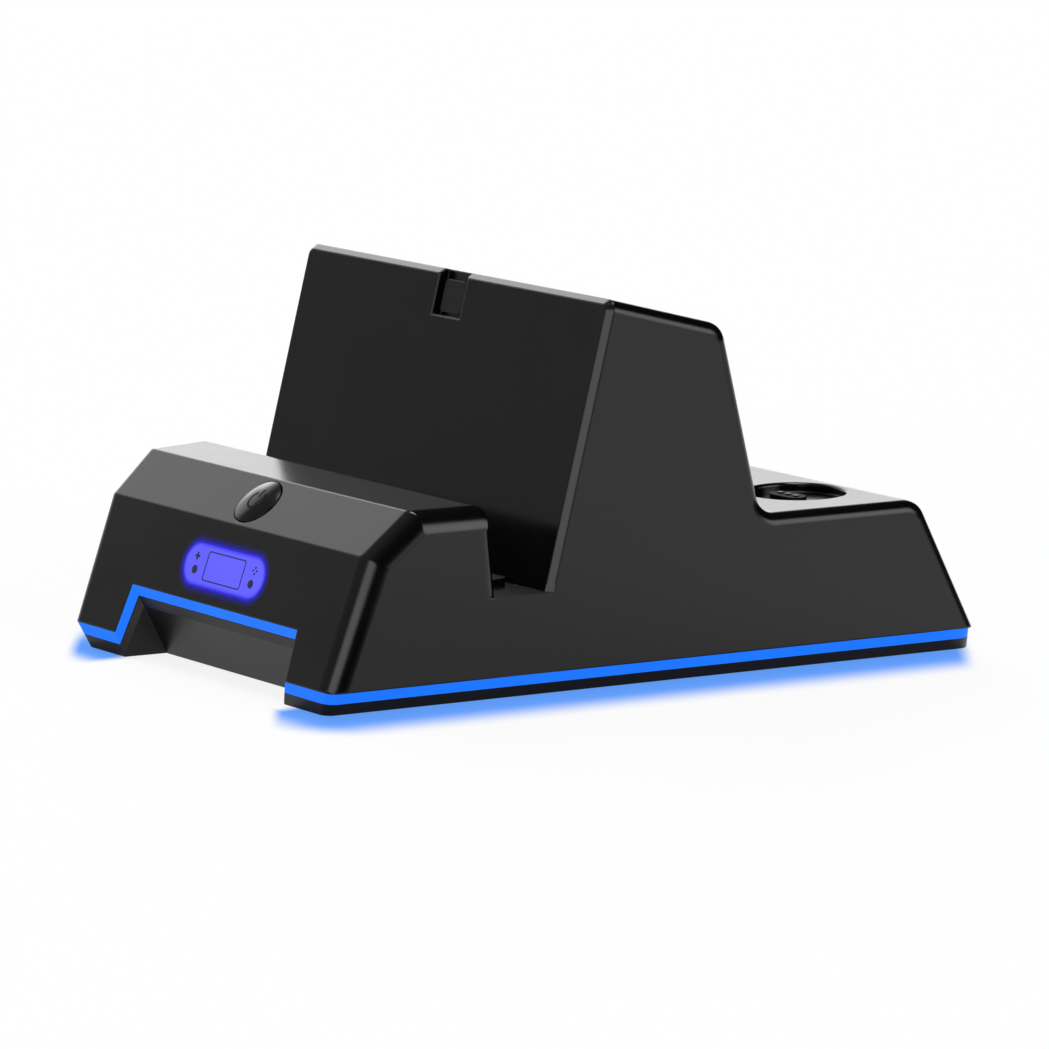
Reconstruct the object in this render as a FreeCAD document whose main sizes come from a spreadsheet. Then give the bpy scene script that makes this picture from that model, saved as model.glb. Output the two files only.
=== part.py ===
# Handheld console dock: a flared, drafted two-part case with a console slot, a leaning back rest,
# a rear shelf with two round charging recesses and a light line that climbs over the front notch.
# Millimetres. X runs across the dock, Y from front to rear, Z up.
# The origin is under the middle of the case, on the surface that the feet stand on.
import FreeCAD, Part
import math
import os
import Sketcher

# Driving dimensions. Angles are in degrees, lengths in millimetres.
SIZES = {
    # Outer form of the case
    "depth": 175.0,
    "front_width": 111.6,
    "side_flare": 7.9,
    "side_draft": 2.0,
    "foot_stand": 0.6,
    "base_rim": 3.0,
    "strip_height": 2.8,
    "front_edge_height": 36.9,
    "front_lean": 20.5,
    "block_height": 46.5,
    "block_top": 19.0,
    "chamfer_angle": 39.4,
    "slot_floor_height": 25.2,
    "slot_draft": 4.2,
    "slot_width": 12.5,
    "rest_lean": 15.0,
    "rest_height": 92.5,
    "rear_wall_lean": 11.8,
    "shelf_height": 38.6,
    "shelf_depth": 43.2,
    "rear_lean": 24.8,
    "side_undercut": 36.3,
    "front_undercut": 12.0,
    # Rounds of the case
    "side_round": 3.0,
    "lip_round": 3.2,
    "rest_top_round": 5.5,
    "shelf_inner_round": 5.0,
    "shelf_outer_round": 6.0,
    "rest_chamfer": 1.4,
    # Walls
    "wall": 2.2,
    "band_depth": 5.0,
    "base_floor": 2.0,
    # Front notch and the light line over it
    "notch_width": 73.5,
    "notch_rise": 12.3,
    "notch_draft": 6.0,
    "mouth_depth": 3.0,
    "mouth_drop": 4.3,
    "throat_width": 65.0,
    "throat_draft": 9.0,
    "notch_side_taper": 6.9,
    "notch_wall_lean": 27.5,
    "shroud_wall": 2.0,
    "arch_depth": 4.0,
    # Power button and its switch
    "button_width": 12.9,
    "button_gap": 0.3,
    "button_rise": 0.9,
    "button_dome": 0.7,
    "button_travel": 0.7,
    "ear_span": 17.0,
    "ear_width": 8.0,
    "ear_thickness": 1.0,
    "stem_width": 4.0,
    "stem_length": 2.2,
    "plunger_width": 3.0,
    "plunger_rise": 1.0,
    "plunger_hold": 1.2,
    "switch_side": 6.2,
    "switch_height": 3.4,
    "front_board_length": 32.0,
    "front_board_width": 10.0,
    "board_thickness": 1.2,
    "front_post_spread": 12.5,
    "post_width": 5.0,
    # Lit pictogram in the front face
    "icon_width": 35.0,
    "icon_height": 11.5,
    "icon_centre": 21.2,
    "lens_gap": 0.1,
    "lens_flange": 1.5,
    "lens_flange_thickness": 1.0,
    "guide_thickness": 3.0,
    # Notch and pad at the top of the rest
    "top_notch_width": 11.4,
    "top_notch_drop": 11.2,
    "top_notch_depth": 2.7,
    "top_notch_bevel": 0.4,
    "pad_width": 8.6,
    "pad_height": 8.0,
    "pad_drop": 2.4,
    "pad_thickness": 1.5,
    "pad_round": 1.2,
    # Round recesses in the shelf
    "recess_spread": 48.8,
    "recess_from_tail": 16.94,
    "recess_width": 24.2,
    "recess_depth": 2.2,
    "recess_lip": 0.9,
    "contact_length": 11.0,
    "contact_width": 5.6,
    "contact_rise": 1.0,
    "contact_shift": 3.0,
    "contact_gap": 0.1,
    "contact_pitch": 3.0,
    "contact_pin_width": 1.6,
    "contact_pin_rise": 0.3,
    "contact_flange": 1.2,
    "cup_board_length": 20.0,
    "cup_board_width": 12.0,
    # Plug in the slot, its board and the cradle round it
    "plug_length": 6.6,
    "plug_width": 8.3,
    "plug_thickness": 2.4,
    "plug_skin": 0.3,
    "plug_shell_seat": 3.0,
    "plug_seat_gap": 0.05,
    "plug_body_length": 12.0,
    "plug_body_width": 5.6,
    "plug_body_rise": 2.4,
    "plug_body_drop": 6.4,
    "plug_gap": 0.3,
    "plug_board_length": 34.0,
    "plug_board_width": 9.0,
    "plug_post_spread": 13.0,
    "cradle_length": 96.0,
    "cradle_width": 11.3,
    "cradle_height": 1.4,
    "cradle_round": 2.0,
    # Main board, power inlet and screws
    "main_board_length": 66.0,
    "main_board_width": 40.0,
    "main_board_thickness": 1.6,
    "main_board_rear_gap": 2.4,
    "main_post_height": 5.0,
    "main_post_inset": 4.0,
    "inlet_width": 8.9,
    "inlet_height": 3.3,
    "inlet_length": 7.6,
    "inlet_skin": 0.35,
    "inlet_tongue": 0.7,
    "port_margin": 0.8,
    "small_screw_width": 2.2,
    "small_screw_length": 5.0,
    "small_head_width": 4.0,
    "small_head_height": 1.4,
    "case_screw_width": 2.6,
    "case_screw_length": 10.0,
    "case_head_width": 5.0,
    "case_head_height": 2.0,
    "case_boss_width": 7.0,
    "case_web": 1.6,
    "screw_gap": 0.05,
    "head_gap": 0.3,
    "front_boss_spread": 46.0,
    "front_boss_from_front": 31.0,
    "rear_boss_spread": 57.5,
    "rear_boss_from_rear": 59.0,
    # Light boards behind the strip
    "led_thickness": 0.8,
    "led_width": 2.8,
    "led_height": 2.0,
    "led_board_height": 5.6,
    "led_board_thickness": 0.8,
    "led_board_clearance": 0.1,
    "led_pitch": 12.0,
    "side_led_count": 11.0,
    "rear_led_count": 11.0,
    "side_board_inset": 18.0,
    "front_board_inner": 38.5,
    # Ballast and feet
    "ballast_length": 76.0,
    "ballast_width": 46.0,
    "ballast_thickness": 4.0,
    "ballast_from_front": 92.0,
    "ballast_round": 3.0,
    "peg_width": 4.0,
    "peg_gap": 0.15,
    "peg_spread": 28.0,
    "foot_width": 10.0,
    "foot_seat": 0.8,
    "foot_gap": 0.1,
    "foot_round": 0.3,
    "front_foot_spread": 45.0,
    "front_foot_from_front": 14.0,
    "rear_foot_spread": 62.0,
    "rear_foot_from_rear": 13.0,
}

doc = FreeCAD.newDocument("console_dock")

sheet = doc.addObject("Spreadsheet::Sheet", "Sizes")
for row, (alias, value) in enumerate(SIZES.items(), 1):
    sheet.set(f"A{row}", alias)
    sheet.set(f"B{row}", str(value))
    sheet.setAlias(f"B{row}", alias)
doc.recompute()

PIECES = []


def size(alias):
    """The present value of one cell of the sheet."""
    return float(sheet.get(alias))


def piece(shape_object, label):
    """Mark an object as one physical piece that is written out under this label."""
    shape_object.Label = label
    PIECES.append(shape_object)
    return shape_object


# Sketches and bodies

def bind(owner, **expressions):
    """Bind plain properties of an object to expressions."""
    for name, expression in expressions.items():
        owner.setExpression(name, expression)


def polygon(sketch, corners, names=None):
    """Add a closed run of lines whose corners are bound to pairs of expressions."""
    first = sketch.GeometryCount
    count = len(corners)
    for index in range(count):
        turn, following = (2 * math.pi * step / count for step in (index, index + 1))
        start = FreeCAD.Vector(math.cos(turn), math.sin(turn), 0)
        end = FreeCAD.Vector(math.cos(following), math.sin(following), 0)
        sketch.addGeometry(Part.LineSegment(start, end), False)
    for index in range(count):
        following = first + (index + 1) % count
        sketch.addConstraint(Sketcher.Constraint("Coincident", first + index, 2, following, 1))
    for index, (across, up) in enumerate(corners):
        for kind, suffix, expression in (("DistanceX", "y", across), ("DistanceY", "z", up)):
            place_of = sketch.addConstraint(Sketcher.Constraint(kind, first + index, 1, 1.0))
            sketch.setExpression(f"Constraints[{place_of}]", expression)
            if names:
                sketch.renameConstraint(place_of, f"{names[index]}_{suffix}")


def new_body(name):
    return doc.addObject("PartDesign::Body", name)


def sketch_on(body, name, role, *loops, lift="0"):
    """A sketch on one of the body's own planes, lifted along the plane's normal."""
    sketch = body.newObject("Sketcher::SketchObject", name)
    plane = next(feature for feature in body.Origin.OriginFeatures if feature.Role == role)
    sketch.AttachmentSupport = [(plane, "")]
    sketch.MapMode = "FlatFace"
    sketch.setExpression("AttachmentOffset.Base.z", lift)
    for corners in loops:
        polygon(sketch, corners)
    return sketch


def pad(body, name, sketch, length, taper="0", down=False):
    feature = body.newObject("PartDesign::Pad", name)
    feature.Profile = sketch
    feature.Reversed = down
    bind(feature, Length=length, TaperAngle=taper)
    return feature


def pocket_across(body, name, sketch):
    """Cut a sketch of the side view right across the body."""
    feature = body.newObject("PartDesign::Pocket", name)
    feature.Profile = sketch
    feature.SideType = "Symmetric"
    bind(feature, Length="4 * Sizes.depth")
    return feature


def dress(body, kind, name, edges, **expressions):
    """A fillet or chamfer on named edges of the body's tip."""
    base = body.Tip
    feature = body.newObject(kind, name)
    feature.Base = (base, edges)
    bind(feature, **expressions)
    doc.recompute()
    return feature


# Finding edges by where they lie

NEAR = 0.02


def edges_where(shape, test):
    return [f"Edge{index}" for index, edge in enumerate(shape.Edges, 1) if test(edge)]


def middle(edge):
    return edge.valueAt((edge.FirstParameter + edge.LastParameter) / 2)


def runs_across(edge):
    span = edge.valueAt(edge.LastParameter) - edge.valueAt(edge.FirstParameter)
    return abs(span.x) > 1 and abs(span.y) < NEAR and abs(span.z) < NEAR


def on_line(point, start, end):
    """Whether a point lies, in the side view, on the line between two corners of the profile."""
    run_y, run_z = end[0] - start[0], end[1] - start[1]
    length = math.hypot(run_y, run_z)
    off_y, off_z = point.y - start[0], point.z - start[1]
    along = (off_y * run_y + off_z * run_z) / length
    aside = (off_y * run_z - off_z * run_y) / length
    return abs(aside) < NEAR and -NEAR < along < length + NEAR


def corner_edges(shape, corner):
    """Edges across the dock at one corner of the side profile."""
    return edges_where(shape, lambda edge: runs_across(edge) and on_line(
        middle(edge), corner, (corner[0], corner[1] + NEAR)))


def side_edges(shape, start, end):
    """Edges at the two sides of the dock that follow one line of the side profile."""
    return edges_where(shape, lambda edge: not runs_across(edge) and on_line(
        middle(edge), start, end))


# Placing and joining simple solids. A frame is an origin and a turn about X.

def place(shape_object, frame, x="0", y="0", z="0"):
    """Put an object's own origin at a point of a frame that is turned about X."""
    origin_y, origin_z, turn = frame
    shape_object.Placement = FreeCAD.Placement(
        FreeCAD.Vector(), FreeCAD.Rotation(FreeCAD.Vector(1, 0, 0), 1))
    bind(shape_object, **{
        "Placement.Base.x": x,
        "Placement.Base.y": f"{origin_y} + ({y}) * cos({turn}) - ({z}) * sin({turn})",
        "Placement.Base.z": f"{origin_z} + ({y}) * sin({turn}) + ({z}) * cos({turn})",
        "Placement.Rotation.Angle": turn,
    })
    return shape_object


def block(name, length, width, height, frame, x="0", y="0", z="0"):
    """A box centred on a point of a frame in X and Y, with its foot at z."""
    solid = doc.addObject("Part::Box", name)
    bind(solid, Length=length, Width=width, Height=height)
    return place(solid, frame, f"{x} - ({length}) / 2", f"{y} - ({width}) / 2", z)


def rod(name, width, height, frame, x="0", y="0", z="0"):
    """A cylinder that rises from a point of a frame."""
    solid = doc.addObject("Part::Cylinder", name)
    bind(solid, Radius=f"({width}) / 2", Height=height)
    return place(solid, frame, x, y, z)


def fuse(name, *shapes):
    joined = doc.addObject("Part::MultiFuse", name)
    joined.Shapes = list(shapes)
    joined.Refine = True
    return joined


def cut(name, base, *tools):
    remainder = doc.addObject("Part::Cut", name)
    remainder.Base = base
    remainder.Tool = tools[0] if len(tools) == 1 else fuse(f"{name}_tools", *tools)
    remainder.Refine = True
    return remainder


def common(name, base, tool):
    shared = doc.addObject("Part::Common", name)
    shared.Base = base
    shared.Tool = tool
    shared.Refine = True
    return shared


def group(name, *shapes):
    bundle = doc.addObject("Part::Compound", name)
    bundle.Links = list(shapes)
    return bundle


def stadium(name, length, width, height, frame, x="0", y="0", z="0"):
    """A prism with two straight sides and two half-round ends."""
    straight = f"(({length}) - ({width}))"
    return fuse(
        name,
        block(f"{name}_middle", straight, width, height, frame, x, y, z),
        rod(f"{name}_left", width, height, frame, f"{x} - {straight} / 2", y, z),
        rod(f"{name}_right", width, height, frame, f"{x} + {straight} / 2", y, z),
    )


def upright_stadium(name, length, width, depth, y, z):
    """A prism like the stadium, but lying along Y with its section upright."""
    return stadium(name, length, width, depth, (y, z, "90"))


def rounded_plate(name, length, width, height, radius, frame, x="0", y="0", z="0"):
    """A plate with rounded corners, centred on a point of a frame, with its foot at z."""
    body = new_body(name)
    across, along = f"({length}) / 2", f"({width}) / 2"
    corners = [(f"-{across}", f"-{along}"), (across, f"-{along}"), (across, along), (f"-{across}", along)]
    pad(body, f"{name}_pad", sketch_on(body, f"{name}_outline", "XY_Plane", corners), height)
    doc.recompute()
    upright = edges_where(body.Tip.Shape, lambda edge: abs(edge.tangentAt(edge.FirstParameter).z) > 0.99)
    dress(body, "PartDesign::Fillet", f"{name}_corners", upright, Radius=radius)
    return place(body, frame, x, y, z)


LEVEL = ("0", "0", "0")


# Side profile of the case, from the front line at the strip's top over the rest to the rear

front_y, front_z = "-Sizes.depth / 2", "Sizes.foot_stand + Sizes.base_rim + Sizes.strip_height"
edge_y = f"{front_y} + (Sizes.front_edge_height - ({front_z})) * tan(Sizes.front_lean)"
block_y = f"{edge_y} + (Sizes.block_height - Sizes.front_edge_height) / tan(Sizes.chamfer_angle)"
lip_y = f"{block_y} + Sizes.block_top"
slot_y = f"{lip_y} + (Sizes.block_height - Sizes.slot_floor_height) * tan(Sizes.slot_draft)"
rest_y = f"{slot_y} + Sizes.slot_width"
ridge_y = f"{rest_y} + (Sizes.rest_height - Sizes.slot_floor_height) * tan(Sizes.rest_lean)"
tail_y = "Sizes.depth / 2 - (Sizes.shelf_height - Sizes.foot_stand) * tan(Sizes.rear_lean)"
shelf_y = f"{tail_y} - Sizes.shelf_depth"
end_y = f"Sizes.depth / 2 - ({front_z} - Sizes.foot_stand) * tan(Sizes.rear_lean)"
back_y = (
    f"(({shelf_y}) - (Sizes.rest_height + ({ridge_y}) * tan(Sizes.rest_lean) - Sizes.shelf_height)"
    f" * tan(Sizes.rear_wall_lean)) / (1 - tan(Sizes.rest_lean) * tan(Sizes.rear_wall_lean))"
)
back_z = f"Sizes.rest_height - (({back_y}) - ({ridge_y})) * tan(Sizes.rest_lean)"

PROFILE = {
    "front": (front_y, front_z),
    "edge": (edge_y, "Sizes.front_edge_height"),
    "block": (block_y, "Sizes.block_height"),
    "lip": (lip_y, "Sizes.block_height"),
    "slot": (slot_y, "Sizes.slot_floor_height"),
    "rest": (rest_y, "Sizes.slot_floor_height"),
    "ridge": (ridge_y, "Sizes.rest_height"),
    "back": (back_y, back_z),
    "shelf": (shelf_y, "Sizes.shelf_height"),
    "tail": (tail_y, "Sizes.shelf_height"),
    "end": (end_y, front_z),
}

# Direction of each line of the profile, in degrees above the level, from the named corner on
HEADING = {
    "front": "(90 - Sizes.front_lean)",
    "edge": "Sizes.chamfer_angle",
    "block": "0",
    "lip": "(Sizes.slot_draft - 90)",
    "slot": "0",
    "rest": "(90 - Sizes.rest_lean)",
    "ridge": "(0 - Sizes.rest_lean)",
    "back": "(Sizes.rear_wall_lean - 90)",
    "shelf": "0",
    "tail": "(Sizes.rear_lean - 90)",
}

profile = doc.addObject("Sketcher::SketchObject", "Profile")
profile.Placement = FreeCAD.Placement(
    FreeCAD.Vector(), FreeCAD.Rotation(FreeCAD.Vector(1, 1, 1), 120))
polygon(profile, list(PROFILE.values()), list(PROFILE))
doc.recompute()


def corner(name):
    """Expressions for a corner of the side profile, as read from its sketch."""
    return f"(Profile.Constraints.{name}_y / 1 mm)", f"(Profile.Constraints.{name}_z / 1 mm)"


def corner_at(name):
    """The present place of a corner of the side profile."""
    index = list(PROFILE).index(name)
    start = profile.Geometry[index].StartPoint
    return start.x, start.y


def inner_corner(name):
    """A corner of the profile moved inward by the wall on both of its lines."""
    names = list(PROFILE)
    before, after = HEADING[names[names.index(name) - 1]], HEADING[name]
    reach = f"Sizes.wall / cos(({before} - {after}) / 2)"
    half = f"(({before} + {after}) / 2)"
    y, z = corner(name)
    return f"{y} + {reach} * sin({half})", f"{z} - {reach} * cos({half})"


FRONT_Y, FRONT_Z = corner("front")
FRONT = (FRONT_Y, FRONT_Z, HEADING["front"])
CHAMFER = (
    f"({corner('edge')[0]} + {corner('block')[0]}) / 2",
    f"({corner('edge')[1]} + {corner('block')[1]}) / 2",
    HEADING["edge"],
)
RIDGE = (*corner("ridge"), HEADING["rest"])
SLOT_MIDDLE = f"(({corner('slot')[0]} + {corner('rest')[0]}) / 2)"
PLUG = (SLOT_MIDDLE, "Sizes.slot_floor_height", HEADING["ridge"])
SIDE_SLOPE = "tan(Sizes.side_flare)"
FLOOR_TOP = "(Sizes.foot_stand + Sizes.base_floor)"
STRIP_FOOT = "(Sizes.foot_stand + Sizes.base_rim)"


def half_width(y):
    """Half the width of the case at the strip's top, at a place along the depth."""
    return f"(Sizes.front_width / 2 + (({y}) - {FRONT_Y}) * {SIDE_SLOPE})"


def plan(inset, front, rear):
    """Plan outline with flared sides, moved inward by the inset at the sides."""
    move = f"{inset} / cos(Sizes.side_flare)"
    corners = []
    for side, y in (("-", front), ("", front), ("", rear), ("-", rear)):
        corners.append((f"{side}({half_width(y)} - {move})", y))
    return corners


ABOVE = "(Sizes.rest_height + Sizes.depth / 4)"


FAR = "(2 * Sizes.depth)"


def frame_round():
    """A rectangle of the side view that stands clear round everything."""
    return [(f"-{FAR}", f"-{FAR}"), (FAR, f"-{FAR}"), (FAR, FAR), (f"-{FAR}", FAR)]


def flared_blank(body, name, low, high, inset, slope):
    """A block whose two sides are planes: they widen to the rear and close in by the slope going up."""
    reach = "Sizes.depth"
    front_view = [(f"-{reach}", low), (reach, low), (reach, high), (f"-{reach}", high)]
    blank = pad(body, f"{name}_blank", sketch_on(body, f"{name}_front_view", "XZ_Plane", front_view), FAR)
    blank.SideType = "Symmetric"
    waist = f"({half_width('0')} - {inset} / cos(Sizes.side_flare))"
    for side, sign in (("left", "-1"), ("right", "1")):
        outside = [
            (f"{sign} * ({waist} - ({low} - {FRONT_Z}) * {slope})", low),
            (f"{sign} * {FAR}", low),
            (f"{sign} * {FAR}", high),
            (f"{sign} * ({waist} - ({high} - {FRONT_Z}) * {slope})", high),
        ]
        trim = body.newObject("PartDesign::Pocket", f"{name}_{side}_trim")
        trim.Profile = sketch_on(body, f"{name}_{side}_outside", "XZ_Plane", outside)
        trim.SideType = "Symmetric"
        trim.UseCustomVector = True
        trim.Direction = FreeCAD.Vector(0, 1, 0)
        bind(trim, **{"Length": f"2 * {FAR}", "Direction.x": f"{sign} * tan(Sizes.side_flare)"})


# Outer form of the case above the light strip

def make_housing_form():
    body = new_body("housing_form")
    flared_blank(body, "case", FRONT_Z, ABOVE, "0", "tan(Sizes.side_draft)")
    block_corner, ridge_corner = corner("block"), corner("ridge")
    peak_z = f"{ridge_corner[1]} + ({ridge_corner[0]} - {block_corner[0]}) * tan(Sizes.rest_lean)"
    outer = [corner(name) for name in ("front", "edge", "block")]
    outer.append((block_corner[0], peak_z))
    outer += [corner(name) for name in ("back", "shelf", "tail", "end")]
    side_view = sketch_on(body, "case_side", "YZ_Plane", frame_round(), outer)
    pocket_across(body, "case_side_cut", side_view)
    doc.recompute()
    rear_rounds = {"back": "rest_top_round", "shelf": "shelf_inner_round", "tail": "shelf_outer_round"}
    for name, radius in rear_rounds.items():
        edges = corner_edges(body.Tip.Shape, corner_at(name))
        dress(body, "PartDesign::Fillet", f"{name}_round", edges, Radius=f"Sizes.{radius}")
    ridge_at, block_at = corner_at("ridge"), corner_at("block")
    climb = (ridge_at[0] - block_at[0]) * math.tan(math.radians(size("rest_lean")))
    peak = (block_at[0], ridge_at[1] + climb)
    rear = side_edges(body.Tip.Shape, peak, corner_at("back"))
    dress(body, "PartDesign::Fillet", "rear_side_round", rear, Radius="Sizes.side_round")

    slot = [(f"{block_corner[0]} - 1", block_corner[1])]
    slot += [corner(name) for name in ("lip", "slot", "rest")]
    slot.append((
        f"{corner('rest')[0]} + {ABOVE} * tan(Sizes.rest_lean)",
        f"Sizes.slot_floor_height + {ABOVE}",
    ))
    slot.append((f"{block_corner[0]} - 1", f"Sizes.slot_floor_height + {ABOVE}"))
    pocket_across(body, "slot_cut", sketch_on(body, "slot_side", "YZ_Plane", slot))
    doc.recompute()
    lip = corner_edges(body.Tip.Shape, corner_at("lip"))
    dress(body, "PartDesign::Fillet", "lip_round", lip, Radius="Sizes.lip_round")
    front = []
    for start, end in (("front", "edge"), ("edge", "block"), ("block", "lip")):
        front += side_edges(body.Tip.Shape, corner_at(start), corner_at(end))
    dress(body, "PartDesign::Fillet", "front_side_round", front, Radius="Sizes.side_round")

    foot, top = corner_at("rest"), corner_at("ridge")
    rest = edges_where(body.Tip.Shape, lambda edge: on_line(middle(edge), foot, top)
                       and middle(edge).z > foot[1] + 1)
    dress(body, "PartDesign::Chamfer", "rest_edge_chamfer", rest, Size="Sizes.rest_chamfer")
    return body


def make_cavity_form():
    """The space inside the case, one wall in from every outer face."""
    body = new_body("cavity_form")
    flared_blank(body, "cavity", FRONT_Z, ABOVE, "Sizes.wall", "tan(Sizes.side_draft)")
    names = list(PROFILE)[1:-1]
    end_y_at, end_z_at = corner("end")
    inner = [(f"{FRONT_Y} + Sizes.wall / cos(Sizes.front_lean)", FRONT_Z)]
    inner += [inner_corner(name) for name in names]
    inner.append((f"{end_y_at} - Sizes.wall / cos(Sizes.rear_lean)", end_z_at))
    side_view = sketch_on(body, "cavity_side", "YZ_Plane", frame_round(), inner)
    pocket_across(body, "cavity_side_cut", side_view)
    doc.recompute()
    return body


def make_band_form():
    """The band below the case: light strip and base rim, undercut at the sides and the front."""
    body = new_body("band_form")
    drop = f"({FRONT_Z} - Sizes.foot_stand)"
    flared_blank(body, "band", "Sizes.foot_stand", FRONT_Z, "0", "(0 - tan(Sizes.side_undercut))")
    side = [
        corner("front"),
        corner("end"),
        ("Sizes.depth / 2", "Sizes.foot_stand"),
        (f"{FRONT_Y} + {drop} * tan(Sizes.front_undercut)", "Sizes.foot_stand"),
    ]
    pocket_across(body, "band_side_cut", sketch_on(body, "band_side", "YZ_Plane", frame_round(), side))
    doc.recompute()
    low = size("foot_stand")
    upright = edges_where(body.Tip.Shape, lambda edge: not runs_across(edge)
                          and abs(edge.tangentAt(edge.FirstParameter).z) > 0.5
                          and middle(edge).z > low + NEAR)
    dress(body, "PartDesign::Fillet", "band_corners", upright, Radius="Sizes.side_round")
    return body


def make_band_core():
    """The space inside the band, above the base floor."""
    body = new_body("band_core")
    front = f"({FRONT_Y} + Sizes.band_depth)"
    rear = f"({corner('end')[0]} - Sizes.band_depth)"
    base = sketch_on(body, "core_plan", "XY_Plane", plan("Sizes.band_depth", front, rear), lift=FLOOR_TOP)
    pad(body, "core_pad", base, f"{FRONT_Z} - {FLOOR_TOP}")
    doc.recompute()
    return body


# Front notch. Its solids stand in the frame of the front face: y runs up the face, z outward.

NOTCH_FOOT = f"(-({FRONT_Z}) / cos(Sizes.front_lean) - Sizes.mouth_depth)"
THROAT_TOP = "(Sizes.notch_rise - Sizes.mouth_drop)"
ARCH_TOP = "(Sizes.notch_rise - Sizes.mouth_drop / 2)"
NOTCH_WALL_TURN = "(Sizes.front_lean + Sizes.notch_wall_lean)"


def mouth_half(up):
    return f"(Sizes.notch_width / 2 - ({up}) * tan(Sizes.notch_draft))"


def throat_half(up):
    return f"(Sizes.throat_width / 2 + ({THROAT_TOP} - ({up})) * tan(Sizes.throat_draft))"


def arch_half(up):
    return f"(({mouth_half(up)} + {throat_half(up)}) / 2)"


def trapezoid(half, top):
    return [
        (f"-{half(NOTCH_FOOT)}", NOTCH_FOOT),
        (half(NOTCH_FOOT), NOTCH_FOOT),
        (half(top), top),
        (f"-{half(top)}", top),
    ]


def behind_wall(offset):
    """Everything behind the notch's sloping back wall, in the side view of the front frame."""
    apex_y = f"({THROAT_TOP} + {offset} * sin({NOTCH_WALL_TURN}))"
    apex_z = f"(-Sizes.mouth_depth - {offset} * cos({NOTCH_WALL_TURN}))"
    reach = "Sizes.notch_width"
    return [
        (f"{apex_y} + {reach} * cos({NOTCH_WALL_TURN})", f"{apex_z} + {reach} * sin({NOTCH_WALL_TURN})"),
        (f"{apex_y} - {reach} * cos({NOTCH_WALL_TURN})", f"{apex_z} - {reach} * sin({NOTCH_WALL_TURN})"),
        (f"{apex_y} + {reach} * cos({NOTCH_WALL_TURN})", f"{apex_z} - {reach} * sin({NOTCH_WALL_TURN})"),
    ]


def make_notch_prism(name, half, top, depth):
    """A prism of a notch outline, from outside the front face back to the depth."""
    body = new_body(name)
    base = sketch_on(body, f"{name}_outline", "XY_Plane", trapezoid(half, top), lift=f"-({depth})")
    pad(body, f"{name}_pad", base, f"{depth} + Sizes.arch_depth")
    doc.recompute()
    return place(body, FRONT)


def make_notch_mouth():
    """The bevelled mouth: it narrows from the outline on the front face to the throat."""
    body = new_body("notch_mouth")
    outer = sketch_on(body, "mouth_outline", "XY_Plane", trapezoid(mouth_half, "Sizes.notch_rise"))
    inner = sketch_on(body, "throat_outline", "XY_Plane", trapezoid(throat_half, THROAT_TOP),
                      lift="-Sizes.mouth_depth")
    loft = body.newObject("PartDesign::AdditiveLoft", "mouth_loft")
    loft.Profile = outer
    loft.Sections = [inner]
    loft.Ruled = True
    doc.recompute()
    outside = sketch_on(body, "mouth_front", "XY_Plane", trapezoid(mouth_half, "Sizes.notch_rise"))
    pad(body, "mouth_pad", outside, "Sizes.arch_depth")
    doc.recompute()
    return place(body, FRONT)


def make_notch_void():
    """The space behind the throat, under the sloping back wall."""
    body = new_body("notch_void")
    base = sketch_on(body, "void_outline", "XY_Plane", trapezoid(throat_half, THROAT_TOP),
                     lift="-Sizes.mouth_depth")
    pad(body, "void_pad", base, "Sizes.notch_width / 3", taper="-Sizes.notch_side_taper", down=True)
    pocket_across(body, "void_cut", sketch_on(body, "void_wall", "YZ_Plane", behind_wall("0")))
    doc.recompute()
    return place(body, FRONT)


def make_shroud_form():
    """The base plate's raised wall round the notch."""
    body = new_body("shroud_form")
    base = sketch_on(body, "shroud_outline", "XY_Plane", trapezoid(arch_half, ARCH_TOP))
    pad(body, "shroud_pad", base, "Sizes.notch_width / 3", down=True)
    pocket_across(body, "shroud_cut", sketch_on(body, "shroud_wall", "YZ_Plane",
                                                behind_wall("Sizes.shroud_wall")))
    doc.recompute()
    return place(body, FRONT)


def slab(name, low, high):
    """A level slab that covers the whole plan between two heights."""
    return block(name, "2 * Sizes.depth", "2 * Sizes.depth", f"{high} - ({low})", LEVEL, z=low)


housing_form = make_housing_form()
cavity_form = make_cavity_form()
band_form = make_band_form()
band_core = make_band_core()
arch_prism = make_notch_prism("arch_prism", mouth_half, "Sizes.notch_rise", "Sizes.arch_depth")
core_prism = make_notch_prism("core_prism", arch_half, ARCH_TOP, "Sizes.notch_width / 3")
notch_mouth = make_notch_mouth()
notch_void = make_notch_void()
shroud_form = make_shroud_form()
notch_space = fuse("notch_space", notch_mouth, notch_void)


# Light strip: a ring round the case that climbs over the notch

def make_light_strip():
    band = common("strip_band", band_form, slab("strip_slab", STRIP_FOOT, FRONT_Z))
    ring = cut("strip_ring", band, band_core)
    arch = common("strip_arch", arch_prism, housing_form)
    return cut("strip_cut", fuse("strip_whole", ring, arch), core_prism, notch_space)


piece(make_light_strip(), "light_strip")


# Places of the case screws, the feet and the main board's posts

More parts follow.
